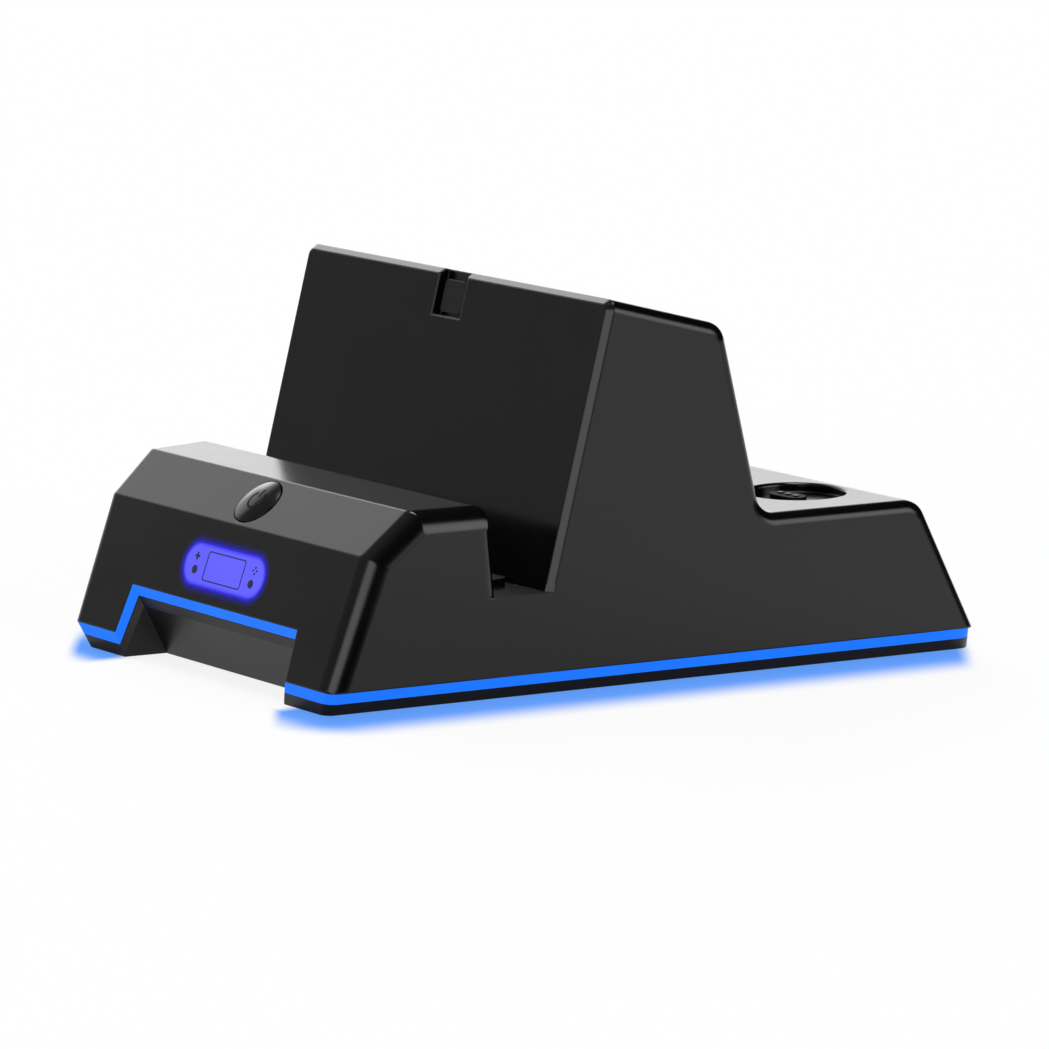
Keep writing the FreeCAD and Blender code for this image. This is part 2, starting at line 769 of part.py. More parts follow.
FRONT_BOSS_Y = f"({FRONT_Y} + Sizes.front_boss_from_front)"
REAR_BOSS_Y = "(Sizes.depth / 2 - Sizes.rear_boss_from_rear)"
CASE_BOSSES = {
    "front_left": ("-Sizes.front_boss_spread", FRONT_BOSS_Y, "Sizes.block_height"),
    "front_right": ("Sizes.front_boss_spread", FRONT_BOSS_Y, "Sizes.block_height"),
    "rear_left": ("-Sizes.rear_boss_spread", REAR_BOSS_Y, "Sizes.shelf_height"),
    "rear_right": ("Sizes.rear_boss_spread", REAR_BOSS_Y, "Sizes.shelf_height"),
}
FRONT_FOOT_Y = f"({FRONT_Y} + Sizes.front_foot_from_front)"
REAR_FOOT_Y = "(Sizes.depth / 2 - Sizes.rear_foot_from_rear)"
FEET = {
    "front_left": ("-Sizes.front_foot_spread", FRONT_FOOT_Y),
    "front_right": ("Sizes.front_foot_spread", FRONT_FOOT_Y),
    "rear_left": ("-Sizes.rear_foot_spread", REAR_FOOT_Y),
    "rear_right": ("Sizes.rear_foot_spread", REAR_FOOT_Y),
}
SIDES = {"left": "-1", "right": "1"}
BOARD_REAR = f"({corner('end')[0]} - Sizes.band_depth - Sizes.main_board_rear_gap)"
BOARD_MIDDLE = f"({BOARD_REAR} - Sizes.main_board_width / 2)"
BOARD_FOOT = f"({FLOOR_TOP} + Sizes.main_post_height)"
BOARD_TOP = f"({BOARD_FOOT} + Sizes.main_board_thickness)"
POST_X = "(Sizes.main_board_length / 2 - Sizes.main_post_inset)"
POST_Y = "(Sizes.main_board_width / 2 - Sizes.main_post_inset)"
MAIN_POSTS = {
    "front_left": (f"-{POST_X}", f"{BOARD_MIDDLE} - {POST_Y}"),
    "front_right": (POST_X, f"{BOARD_MIDDLE} - {POST_Y}"),
    "rear_left": (f"-{POST_X}", f"{BOARD_MIDDLE} + {POST_Y}"),
    "rear_right": (POST_X, f"{BOARD_MIDDLE} + {POST_Y}"),
}
BALLAST_MIDDLE = f"({FRONT_Y} + Sizes.ballast_from_front)"
CASE_HEAD_TOP = f"({FRONT_Z} - Sizes.case_web)"


def make_base_plate():
    """Floor, rim and raised notch wall in one moulding, with screw posts and board posts."""
    pan = cut("base_pan", common("base_band", band_form, slab("base_slab", "Sizes.foot_stand", STRIP_FOOT)),
              band_core)
    shroud = common("shroud", shroud_form, fuse("case_form", housing_form, band_form))
    posts = [pan, shroud]
    holes = [notch_space]
    for name, (x, y, _) in CASE_BOSSES.items():
        posts.append(rod(f"case_post_{name}", "Sizes.case_boss_width + Sizes.wall",
                         f"{FRONT_Z} - {FLOOR_TOP}", LEVEL, x, y, FLOOR_TOP))
        holes.append(rod(f"head_well_{name}", "Sizes.case_head_width + 2 * Sizes.head_gap", CASE_HEAD_TOP,
                         LEVEL, x, y, "0"))
        holes.append(rod(f"shank_hole_{name}", "Sizes.case_screw_width + 2 * Sizes.head_gap", FRONT_Z,
                         LEVEL, x, y, "1"))
    for name, (x, y) in MAIN_POSTS.items():
        posts.append(rod(f"main_post_{name}", "Sizes.post_width", "Sizes.main_post_height", LEVEL,
                         x, y, FLOOR_TOP))
        holes.append(rod(f"main_pilot_{name}", "Sizes.small_screw_width + 2 * Sizes.screw_gap",
                         "Sizes.small_screw_length", LEVEL, x, y, f"{BOARD_TOP} - Sizes.small_screw_length"))
    for name, side in SIDES.items():
        posts.append(rod(f"peg_{name}", "Sizes.peg_width", "Sizes.ballast_thickness", LEVEL,
                         f"{side} * Sizes.peg_spread", BALLAST_MIDDLE, FLOOR_TOP))
    for name, (x, y) in FEET.items():
        holes.append(rod(f"foot_seat_{name}", "Sizes.foot_width + 2 * Sizes.foot_gap",
                         "Sizes.foot_stand + Sizes.foot_seat", LEVEL, x, y, "0"))
    return cut("base_cut", fuse("base_whole", *posts), *holes)


piece(make_base_plate(), "base_plate")


# Upper housing

RECESS_Y = f"({corner('tail')[0]} - Sizes.recess_from_tail)"
RECESS_FLOOR = "(Sizes.shelf_height - Sizes.recess_depth)"
PORT_Z = f"({BOARD_TOP} + Sizes.inlet_height / 2)"
CHAMFER_WALL = "(0 - Sizes.wall)"
FRONT_BOARD_TOP = ("(0 - Sizes.wall - Sizes.ear_thickness - Sizes.stem_length - Sizes.plunger_rise"
                   " - Sizes.switch_height)")
PLUG_BOARD_TOP = "(0 - Sizes.plug_body_drop)"


def round_recess_lips(base):
    """Soften the lip of both recesses: the circles where their walls meet the shelf."""
    shelf, radius = size("shelf_height"), size("recess_width") / 2
    doc.recompute()
    circles = [index for index, edge in enumerate(base.Shape.Edges, 1)
               if isinstance(edge.Curve, Part.Circle) and abs(edge.Curve.Radius - radius) < NEAR
               and abs(edge.Curve.Center.z - shelf) < NEAR]
    lips = doc.addObject("Part::Fillet", "recess_lips")
    lips.Base = base
    lips.Edges = [(index, size("recess_lip"), size("recess_lip")) for index in circles]
    return lips


def top_notch_space():
    """The open-topped notch in the rest, with its thin bevelled edge."""
    reach = "Sizes.top_notch_depth"
    straight = block("top_notch_straight", "Sizes.top_notch_width", "2 * Sizes.top_notch_drop",
                     f"2 * {reach}", RIDGE, z=f"-{reach}")
    body = new_body("top_notch_bevel")
    rim = "(Sizes.top_notch_width / 2 + {0})"
    loops = []
    for grow, lift in (("0", "-Sizes.top_notch_bevel"), ("Sizes.top_notch_bevel", "0")):
        half, foot = rim.format(grow), f"(-Sizes.top_notch_drop - {grow})"
        corners = [(f"-{half}", foot), (half, foot), (half, reach), (f"-{half}", reach)]
        loops.append(sketch_on(body, f"bevel_outline_{len(loops)}", "XY_Plane", corners, lift=lift))
    loft = body.newObject("PartDesign::AdditiveLoft", "bevel_loft")
    loft.Profile = loops[0]
    loft.Sections = [loops[1]]
    loft.Ruled = True
    doc.recompute()
    return fuse("top_notch_space", straight, place(body, RIDGE))


def make_upper_housing():
    shell = cut("housing_shell", housing_form, cavity_form)
    solids = [shell]
    holes = [arch_prism]
    for name, (x, y, ceiling) in CASE_BOSSES.items():
        solids.append(rod(f"case_boss_{name}", "Sizes.case_boss_width",
                          f"{ceiling} - Sizes.wall / 2 - {FRONT_Z}", LEVEL, x, y, FRONT_Z))
        holes.append(rod(f"case_pilot_{name}", "Sizes.case_screw_width + 2 * Sizes.screw_gap",
                         f"{CASE_HEAD_TOP} + Sizes.case_screw_length", LEVEL, x, y, "0"))
    for name, side in SIDES.items():
        x = f"{side} * Sizes.recess_spread"
        solids.append(rod(f"recess_cup_{name}", "Sizes.recess_width + 2 * Sizes.wall",
                          "Sizes.recess_depth + Sizes.wall / 2",
                          LEVEL, x, RECESS_Y, f"{RECESS_FLOOR} - Sizes.wall"))
        holes.append(rod(f"recess_{name}", "Sizes.recess_width", "2 * Sizes.recess_depth", LEVEL, x, RECESS_Y,
                         RECESS_FLOOR))
        holes.append(stadium(f"contact_hole_{name}", "Sizes.contact_length + 2 * Sizes.contact_gap",
                             "Sizes.contact_width + 2 * Sizes.contact_gap", "3 * Sizes.wall", LEVEL,
                             f"{x} - Sizes.contact_shift", RECESS_Y, f"{RECESS_FLOOR} - 2 * Sizes.wall"))
        post_x = f"{side} * Sizes.front_post_spread"
        solids.append(rod(f"front_post_{name}", "Sizes.post_width", f"{CHAMFER_WALL} - {FRONT_BOARD_TOP} + 1",
                          CHAMFER, post_x, "0", FRONT_BOARD_TOP))
        holes.append(rod(f"front_pilot_{name}", "Sizes.small_screw_width + 2 * Sizes.screw_gap",
                         "Sizes.small_screw_length", CHAMFER, post_x, "0",
                         f"{FRONT_BOARD_TOP} - Sizes.board_thickness"))
        plug_x = f"{side} * Sizes.plug_post_spread"
        solids.append(rod(f"plug_post_{name}", "Sizes.post_width", "Sizes.plug_body_drop - Sizes.wall / 2",
                          PLUG, plug_x, "0", PLUG_BOARD_TOP))
        holes.append(rod(f"plug_pilot_{name}", "Sizes.small_screw_width + 2 * Sizes.screw_gap",
                         "Sizes.small_screw_length", PLUG, plug_x, "0",
                         f"{PLUG_BOARD_TOP} - Sizes.board_thickness"))
    solids.append(common("top_notch_back", housing_form, block(
        "top_notch_back_blank", "Sizes.top_notch_width + 2 * Sizes.wall",
        "Sizes.top_notch_drop + Sizes.wall", "Sizes.top_notch_depth + Sizes.wall", RIDGE,
        y="-(Sizes.top_notch_drop + Sizes.wall) / 2", z="-Sizes.top_notch_depth - Sizes.wall")))
    holes.append(top_notch_space())
    holes.append(rod("button_hole", "Sizes.button_width + 2 * Sizes.button_gap", "3 * Sizes.wall",
                     CHAMFER, z="-2 * Sizes.wall"))
    holes.append(stadium("lens_window", "Sizes.icon_width + 2 * Sizes.lens_gap",
                         "Sizes.icon_height + 2 * Sizes.lens_gap", "3 * Sizes.wall",
                         FRONT, y="Sizes.icon_centre", z="-2 * Sizes.wall"))
    holes.append(stadium("plug_hole", "Sizes.plug_body_length + 2 * Sizes.plug_gap",
                         "Sizes.plug_body_width + 2 * Sizes.plug_gap", "4 * Sizes.wall",
                         PLUG, z="-2 * Sizes.wall"))
    holes.append(upright_stadium("inlet_port", "Sizes.inlet_width + 2 * Sizes.port_margin",
                                 "Sizes.inlet_height + 2 * Sizes.port_margin", "6 * Sizes.wall",
                                 f"{BOARD_REAR} + 6 * Sizes.wall", PORT_Z))
    return round_recess_lips(cut("housing_cut", fuse("housing_whole", *solids), *holes))


piece(make_upper_housing(), "upper_housing")


# Power button, its switch and the board that carries it

def make_power_button():
    """A domed cap with two ears that the wall holds back and a stem down to the switch."""
    body = new_body("button_turning")
    half, stem = "Sizes.button_width / 2", "Sizes.stem_width / 2"
    under = "(0 - Sizes.wall - Sizes.ear_thickness)"
    foot = f"({under} - Sizes.stem_length)"
    shoulder = "(Sizes.button_rise - Sizes.button_dome)"
    outline = [("0", foot), (stem, foot), (stem, under), (half, under), (half, shoulder), ("0", shoulder)]
    turned = sketch_on(body, "button_section", "XZ_Plane", outline)
    revolve = body.newObject("PartDesign::Revolution", "button_turned")
    revolve.Profile = turned
    revolve.ReferenceAxis = (turned, ["V_Axis"])
    revolve.Angle = 360
    doc.recompute()
    place(body, CHAMFER)
    bulge = f"((({half}) * ({half}) + Sizes.button_dome * Sizes.button_dome) / (2 * Sizes.button_dome))"
    ball = doc.addObject("Part::Sphere", "button_ball")
    bind(ball, Radius=bulge)
    place(ball, CHAMFER, z=f"Sizes.button_rise - {bulge}")
    bind(ball, **{"Placement.Rotation.Angle": f"{CHAMFER[2]} + 90"})
    crown = common("button_crown", ball, rod("button_crown_blank", "Sizes.button_width",
                                             "Sizes.button_dome + 1", CHAMFER, z=shoulder))
    ears = block("button_ears", "Sizes.ear_span", "Sizes.ear_width", "Sizes.ear_thickness", CHAMFER, z=under)
    return fuse("button_whole", body, crown, ears)


piece(make_power_button(), "power_button")

SWITCH_TOP = f"({FRONT_BOARD_TOP} + Sizes.switch_height)"
piece(rod("switch_plunger", "Sizes.plunger_width", "Sizes.plunger_rise + Sizes.plunger_hold",
          CHAMFER, z=f"{SWITCH_TOP} - Sizes.plunger_hold"), "switch_plunger")
piece(cut(
    "button_switch",
    block("switch_case", "Sizes.switch_side", "Sizes.switch_side", "Sizes.switch_height",
          CHAMFER, z=FRONT_BOARD_TOP),
    rod("switch_well", "Sizes.plunger_width + 2 * Sizes.button_gap", "Sizes.switch_height",
        CHAMFER, z=f"{SWITCH_TOP} - Sizes.plunger_hold - Sizes.button_travel - Sizes.button_gap"),
), "button_switch")


def screwed_board(name, length, width, thickness, frame, top, holes):
    """A circuit board hung under its posts, with a clear hole for each screw."""
    blank = block(f"{name}_blank", length, width, thickness, frame, z=f"{top} - {thickness}")
    tools = []
    for index, x in enumerate(holes):
        tools.append(rod(f"{name}_hole_{index}", "Sizes.small_screw_width + 2 * Sizes.screw_gap",
                         f"3 * {thickness}", frame, x, "0", f"{top} - 2 * {thickness}"))
    return cut(name, blank, *tools)


def hung_screw(name, frame, x, top, thickness):
    """A small screw that comes from behind through a board into its post."""
    head = rod(f"{name}_head", "Sizes.small_head_width", "Sizes.small_head_height", frame, x, "0",
               f"{top} - {thickness} - Sizes.small_head_height")
    shank = rod(f"{name}_shank", "Sizes.small_screw_width", "Sizes.small_screw_length - 0.5", frame, x, "0",
                f"{top} - {thickness}")
    return fuse(name, head, shank)


FRONT_HOLES = [f"{side} * Sizes.front_post_spread" for side in SIDES.values()]
PLUG_HOLES = [f"{side} * Sizes.plug_post_spread" for side in SIDES.values()]
piece(screwed_board("front_board", "Sizes.front_board_length", "Sizes.front_board_width",
                    "Sizes.board_thickness", CHAMFER, FRONT_BOARD_TOP, FRONT_HOLES), "front_board")


# Lit pictogram: lens in the front wall, light guide and its board behind it

def make_icon_lens():
    plug = stadium("lens_plug", "Sizes.icon_width", "Sizes.icon_height", "Sizes.wall", FRONT,
                   y="Sizes.icon_centre", z="-Sizes.wall")
    flange = stadium("lens_flange_plate", "Sizes.icon_width + 2 * Sizes.lens_flange",
                     "Sizes.icon_height + 2 * Sizes.lens_flange", "Sizes.lens_flange_thickness", FRONT,
                     y="Sizes.icon_centre", z="-Sizes.wall - Sizes.lens_flange_thickness")
    return fuse("icon_lens", plug, flange)


piece(make_icon_lens(), "icon_lens")
GUIDE_FOOT = "(0 - Sizes.wall - Sizes.lens_flange_thickness - Sizes.guide_thickness)"
piece(block("icon_light_guide", "Sizes.icon_width", "Sizes.icon_height", "Sizes.guide_thickness",
            FRONT, y="Sizes.icon_centre", z=GUIDE_FOOT), "icon_light_guide")
piece(block("icon_board", "Sizes.icon_width", "Sizes.icon_height", "Sizes.board_thickness",
            FRONT, y="Sizes.icon_centre", z=f"{GUIDE_FOOT} - Sizes.board_thickness"), "icon_board")

# Pad in the notch at the top of the rest
piece(rounded_plate("rest_pad_body", "Sizes.pad_width", "Sizes.pad_height", "Sizes.pad_thickness",
                    "Sizes.pad_round", RIDGE, y="-Sizes.pad_drop - Sizes.pad_height / 2",
                    z="-Sizes.top_notch_depth"), "rest_pad")


# Charging contacts in the round recesses

def make_contacts(name, side):
    x = f"{side} * Sizes.recess_spread - Sizes.contact_shift"
    under = f"({RECESS_FLOOR} - Sizes.wall)"
    body = stadium(f"contact_plug_{name}", "Sizes.contact_length", "Sizes.contact_width",
                   "Sizes.wall + Sizes.contact_rise", LEVEL, x, RECESS_Y, under)
    flange = stadium(f"contact_flange_{name}", "Sizes.contact_length + 2 * Sizes.contact_flange",
                     "Sizes.contact_width + 2 * Sizes.contact_flange", "Sizes.contact_flange", LEVEL,
                     x, RECESS_Y, f"{under} - Sizes.contact_flange")
    pins = []
    wells = []
    for index, step in enumerate(("-1", "0", "1")):
        pin_x = f"{x} + {step} * Sizes.contact_pitch"
        foot = f"({under} - Sizes.contact_flange)"
        tall = "Sizes.contact_flange + Sizes.wall + Sizes.contact_rise"
        wells.append(rod(f"contact_well_{name}_{index}", "Sizes.contact_pin_width", tall, LEVEL,
                         pin_x, RECESS_Y, foot))
        pins.append(rod(f"contact_pin_{name}_{index}", "Sizes.contact_pin_width",
                        f"{tall} + Sizes.contact_pin_rise", LEVEL, pin_x, RECESS_Y, foot))
    piece(cut(f"contact_block_{name}_cut", fuse(f"contact_block_{name}_whole", body, flange), *wells),
          f"contact_block_{name}")
    piece(group(f"contact_pins_{name}_group", *pins), f"contact_pins_{name}")
    piece(block(f"cup_board_{name}_block", "Sizes.cup_board_length", "Sizes.cup_board_width",
                "Sizes.board_thickness", LEVEL, x, RECESS_Y,
                f"{under} - Sizes.contact_flange - Sizes.board_thickness"), f"cup_board_{name}")


for side_name, side_sign in SIDES.items():
    make_contacts(side_name, side_sign)


# Plug in the slot, its board and the cradle round it

PLUG_SEAT = "(Sizes.plug_body_rise - Sizes.plug_shell_seat)"


def make_plug_body():
    """The moulded body of the plug, along the lean of the rest, with a seat for the metal shell."""
    tall = "Sizes.plug_body_drop + Sizes.plug_body_rise"
    body = stadium("plug_overmould", "Sizes.plug_body_length", "Sizes.plug_body_width", tall, PLUG,
                   z="-Sizes.plug_body_drop")
    seat = stadium("plug_seat", "Sizes.plug_width + 2 * Sizes.plug_seat_gap",
                   "Sizes.plug_thickness + 2 * Sizes.plug_seat_gap", "2 * Sizes.plug_shell_seat", PLUG,
                   z=PLUG_SEAT)
    return cut("plug_body_cut", body, seat)


def make_plug_shell():
    """The thin metal shell of the plug, open at its tip."""
    tall = "Sizes.plug_shell_seat + Sizes.plug_length"
    tip = stadium("plug_tip", "Sizes.plug_width", "Sizes.plug_thickness", tall, PLUG, z=PLUG_SEAT)
    hollow = stadium("plug_hollow", "Sizes.plug_width - 2 * Sizes.plug_skin",
                     "Sizes.plug_thickness - 2 * Sizes.plug_skin", tall, PLUG,
                     z=f"{PLUG_SEAT} + Sizes.plug_shell_seat")
    return cut("plug_shell_cut", tip, hollow)


piece(make_plug_body(), "plug_body")
piece(make_plug_shell(), "plug_shell")
piece(screwed_board("plug_board", "Sizes.plug_board_length", "Sizes.plug_board_width",
                    "Sizes.board_thickness", PLUG, PLUG_BOARD_TOP, PLUG_HOLES), "plug_board")
piece(cut(
    "slot_cradle",
    rounded_plate("cradle_plate", "Sizes.cradle_length", "Sizes.cradle_width", "Sizes.cradle_height",
                  "Sizes.cradle_round", (SLOT_MIDDLE, "Sizes.slot_floor_height", "0")),
    stadium("cradle_hole", "Sizes.plug_body_length + 2 * Sizes.plug_gap",
            "Sizes.plug_body_width + 2 * Sizes.plug_gap", "4 * Sizes.wall", PLUG, z="-2 * Sizes.wall"),
), "slot_cradle")


# Main board, power inlet and the small screws

def make_main_board():
    blank = block("main_board_blank", "Sizes.main_board_length", "Sizes.main_board_width",
                  "Sizes.main_board_thickness", LEVEL, y=BOARD_MIDDLE, z=BOARD_FOOT)
    holes = [rod(f"main_hole_{name}", "Sizes.small_screw_width + 2 * Sizes.screw_gap",
                 "3 * Sizes.main_board_thickness", LEVEL, x, y, f"{BOARD_FOOT} - Sizes.main_board_thickness")
             for name, (x, y) in MAIN_POSTS.items()]
    return cut("main_board", blank, *holes)


def make_power_inlet():
    """A flat metal socket with round ends and a tongue, its mouth just inside the rear wall."""
    mouth = f"{BOARD_REAR} + Sizes.inlet_length / 2"
    shell = upright_stadium("inlet_shell", "Sizes.inlet_width", "Sizes.inlet_height", "Sizes.inlet_length",
                            mouth, PORT_Z)
    hollow = upright_stadium("inlet_hollow", "Sizes.inlet_width - 2 * Sizes.inlet_skin",
                             "Sizes.inlet_height - 2 * Sizes.inlet_skin", "Sizes.inlet_length - 1",
                             mouth, PORT_Z)
    tongue = block("inlet_tongue_plate", "Sizes.inlet_width - 2 * Sizes.inlet_height / 2 + 1",
                   "Sizes.inlet_length - 1", "Sizes.inlet_tongue", LEVEL,
                   y=f"{BOARD_REAR} - 0.5", z=f"{PORT_Z} - Sizes.inlet_tongue / 2")
    return fuse("power_inlet", cut("inlet_can", shell, hollow), tongue)


piece(make_main_board(), "main_board")
piece(make_power_inlet(), "power_inlet")

small_screws = []
for post_name, (post_x_at, post_y_at) in MAIN_POSTS.items():
    screw_head = rod(f"main_head_{post_name}", "Sizes.small_head_width", "Sizes.small_head_height", LEVEL,
                     post_x_at, post_y_at, BOARD_TOP)
    screw_shank = rod(f"main_shank_{post_name}", "Sizes.small_screw_width", "Sizes.small_screw_length - 0.5",
                      LEVEL, post_x_at, post_y_at, f"{BOARD_TOP} - Sizes.small_screw_length + 0.5")
    small_screws.append(fuse(f"main_screw_{post_name}", screw_head, screw_shank))
for index, hole_x in enumerate(FRONT_HOLES):
    small_screws.append(hung_screw(f"front_screw_{index}", CHAMFER, hole_x, FRONT_BOARD_TOP,
                                   "Sizes.board_thickness"))
for index, hole_x in enumerate(PLUG_HOLES):
    small_screws.append(hung_screw(f"plug_screw_{index}", PLUG, hole_x, PLUG_BOARD_TOP,
                                   "Sizes.board_thickness"))
piece(group("board_screws_group", *small_screws), "board_screws")

case_screws = []
for boss_name, (boss_x, boss_y, _) in CASE_BOSSES.items():
    case_head = rod(f"case_head_{boss_name}", "Sizes.case_head_width", "Sizes.case_head_height", LEVEL,
                    boss_x, boss_y, f"{CASE_HEAD_TOP} - Sizes.case_head_height")
    case_shank = rod(f"case_shank_{boss_name}", "Sizes.case_screw_width", "Sizes.case_screw_length - 0.5",
                     LEVEL, boss_x, boss_y, CASE_HEAD_TOP)
    case_screws.append(fuse(f"case_screw_{boss_name}", case_head, case_shank))
piece(group("case_screws_group", *case_screws), "case_screws")


# Light boards behind the strip

LED_Z = f"({STRIP_FOOT} + Sizes.strip_height / 2 - Sizes.led_height / 2)"
LED_FACE = "(Sizes.band_depth + Sizes.led_board_clearance)"
SIDE_RUN = "(Sizes.depth - 2 * Sizes.side_board_inset)"


def along_side(solid, side, along, inset, width):
    """Put a box against the flared side: its outer face lies the inset in from the strip's outline."""
    sign = SIDES[side]
    turn_axis = FreeCAD.Vector(0, 0, -float(sign))
    solid.Placement = FreeCAD.Placement(FreeCAD.Vector(), FreeCAD.Rotation(turn_axis, 1))
    face = f"(Sizes.front_width / 2 - ({inset}) / cos(Sizes.side_flare) + ({along}) * sin(Sizes.side_flare))"
    if side == "right":
        across = f"{face} - ({width}) * cos(Sizes.side_flare)"
        back = f"({along}) * cos(Sizes.side_flare) + ({width}) * sin(Sizes.side_flare)"
    else:
        across = f"0 - {face}"
        back = f"({along}) * cos(Sizes.side_flare)"
    bind(solid, **{
        "Placement.Base.x": across,
        "Placement.Base.y": f"{FRONT_Y} + {back}",
        "Placement.Rotation.Angle": "Sizes.side_flare",
    })
    return solid


def upright_strip(name, length, width, height, foot):
    solid = doc.addObject("Part::Box", name)
    bind(solid, Length=width, Width=length, Height=height)
    solid.setExpression("Placement.Base.z", foot)
    return solid


leds = []
board_inset = f"{LED_FACE} + Sizes.led_thickness"
for side_name in SIDES:
    strip_board = upright_strip(f"led_board_{side_name}_box", SIDE_RUN, "Sizes.led_board_thickness",
                                "Sizes.led_board_height", FLOOR_TOP)
    piece(along_side(strip_board, side_name, "Sizes.side_board_inset", board_inset,
                     "Sizes.led_board_thickness"), f"led_board_{side_name}")
    for index in range(int(size("side_led_count"))):
        led = upright_strip(f"side_led_{side_name}_{index}", "Sizes.led_width", "Sizes.led_thickness",
                            "Sizes.led_height", LED_Z)
        middle_of_row = f"({index} - (Sizes.side_led_count - 1) / 2) * Sizes.led_pitch"
        leds.append(along_side(led, side_name, f"Sizes.depth / 2 + {middle_of_row} - Sizes.led_width / 2",
                               LED_FACE, "Sizes.led_thickness"))

REAR_FACE = f"({corner('end')[0]} - {LED_FACE})"
FRONT_FACE = f"({FRONT_Y} + {LED_FACE})"
piece(block("led_board_rear_box", "(Sizes.rear_led_count) * Sizes.led_pitch", "Sizes.led_board_thickness",
            "Sizes.led_board_height", LEVEL,
            y=f"{REAR_FACE} - Sizes.led_thickness - Sizes.led_board_thickness / 2", z=FLOOR_TOP),
      "led_board_rear")
for index in range(int(size("rear_led_count"))):
    leds.append(block(f"rear_led_{index}", "Sizes.led_width", "Sizes.led_thickness", "Sizes.led_height",
                      LEVEL, f"({index} - (Sizes.rear_led_count - 1) / 2) * Sizes.led_pitch",
                      f"{REAR_FACE} - Sizes.led_thickness / 2", LED_Z))
FRONT_RUN = f"({half_width(FRONT_FACE)} - Sizes.band_depth - Sizes.front_board_inner - 2 * Sizes.wall)"
FRONT_LED_X = f"(Sizes.front_board_inner + {FRONT_RUN} / 2)"
for side_name, side_sign in SIDES.items():
    piece(block(f"led_board_front_{side_name}_box", FRONT_RUN, "Sizes.led_board_thickness",
                "Sizes.led_board_height", LEVEL, f"{side_sign} * {FRONT_LED_X}",
                f"{FRONT_FACE} + Sizes.led_thickness + Sizes.led_board_thickness / 2", FLOOR_TOP),
          f"led_board_front_{side_name}")
    leds.append(block(f"front_led_{side_name}", "Sizes.led_width", "Sizes.led_thickness",
                      "Sizes.led_height", LEVEL, f"{side_sign} * {FRONT_LED_X}",
                      f"{FRONT_FACE} + Sizes.led_thickness / 2", LED_Z))
piece(group("strip_leds_group", *leds), "strip_leds")


# Ballast and feet

ballast_blank = rounded_plate("ballast_blank", "Sizes.ballast_length", "Sizes.ballast_width",
                              "Sizes.ballast_thickness", "Sizes.ballast_round", LEVEL,
                              y=BALLAST_MIDDLE, z=FLOOR_TOP)
peg_holes = [rod(f"peg_hole_{side_name}", "Sizes.peg_width + 2 * Sizes.peg_gap",
                 "2 * Sizes.ballast_thickness", LEVEL, f"{side_sign} * Sizes.peg_spread", BALLAST_MIDDLE,
                 "Sizes.foot_stand") for side_name, side_sign in SIDES.items()]
piece(cut("ballast_cut", ballast_blank, *peg_holes), "ballast_plate")


def make_foot(name, x, y):
    """A round rubber foot in its seat, with a softly rounded lower edge."""
    body = new_body(f"foot_{name}_body")
    circle = sketch_on(body, f"foot_{name}_outline", "XY_Plane")
    circle.addGeometry(Part.Circle(FreeCAD.Vector(), FreeCAD.Vector(0, 0, 1), size("foot_width") / 2), False)
    circle.addConstraint(Sketcher.Constraint("Coincident", 0, 3, -1, 1))
    radius = circle.addConstraint(Sketcher.Constraint("Radius", 0, size("foot_width") / 2))
    circle.setExpression(f"Constraints[{radius}]", "Sizes.foot_width / 2")
    pad(body, f"foot_{name}_pad", circle, "Sizes.foot_stand + Sizes.foot_seat")
    doc.recompute()
    lower = edges_where(body.Tip.Shape, lambda edge: edge.Closed and abs(middle(edge).z) < NEAR)
    dress(body, "PartDesign::Fillet", f"foot_{name}_round", lower, Radius="Sizes.foot_round")
    return place(body, LEVEL, x, y)


for foot_name, (foot_x, foot_y) in FEET.items():
    piece(make_foot(foot_name, foot_x, foot_y), f"{foot_name}_foot")

doc.recompute()

# Every object must be sound before anything is written
for item in doc.Objects:
    if "Invalid" in item.State or "Error" in item.State:
        raise RuntimeError(f"{item.Name} did not build: {item.State}")
for item in PIECES:
    if item.Shape.isNull() or not item.Shape.isValid() or item.Shape.Volume <= 0:
        raise RuntimeError(f"{item.Label} has no sound solid")

os.makedirs("parts", exist_ok=True)
for item in PIECES:
    item.Shape.exportStep(f"parts/{item.Label}.step")
    box = item.Shape.BoundBox
    print(f"{item.Label}: {len(item.Shape.Solids)} solid(s), {item.Shape.Volume:.1f} mm3, "
          f"{box.XLength:.2f} x {box.YLength:.2f} x {box.ZLength:.2f} mm")
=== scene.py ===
"""Looks of the handheld console dock: finishes, lit parts, small marks, floor, light and camera."""

import math

import bmesh
import bpy
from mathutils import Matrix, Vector


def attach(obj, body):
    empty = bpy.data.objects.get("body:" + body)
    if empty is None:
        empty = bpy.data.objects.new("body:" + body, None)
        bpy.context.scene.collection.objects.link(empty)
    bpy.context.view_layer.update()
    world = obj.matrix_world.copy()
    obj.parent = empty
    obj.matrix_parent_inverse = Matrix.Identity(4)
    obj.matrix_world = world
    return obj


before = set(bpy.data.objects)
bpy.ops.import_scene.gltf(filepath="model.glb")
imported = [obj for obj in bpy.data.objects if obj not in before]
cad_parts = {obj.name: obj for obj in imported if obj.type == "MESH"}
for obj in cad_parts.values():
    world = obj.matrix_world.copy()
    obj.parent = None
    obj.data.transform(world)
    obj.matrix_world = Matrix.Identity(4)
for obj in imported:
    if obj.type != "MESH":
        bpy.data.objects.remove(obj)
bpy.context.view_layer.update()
scene = bpy.context.scene
scene.view_settings.view_transform = "Standard"
MM = 0.001

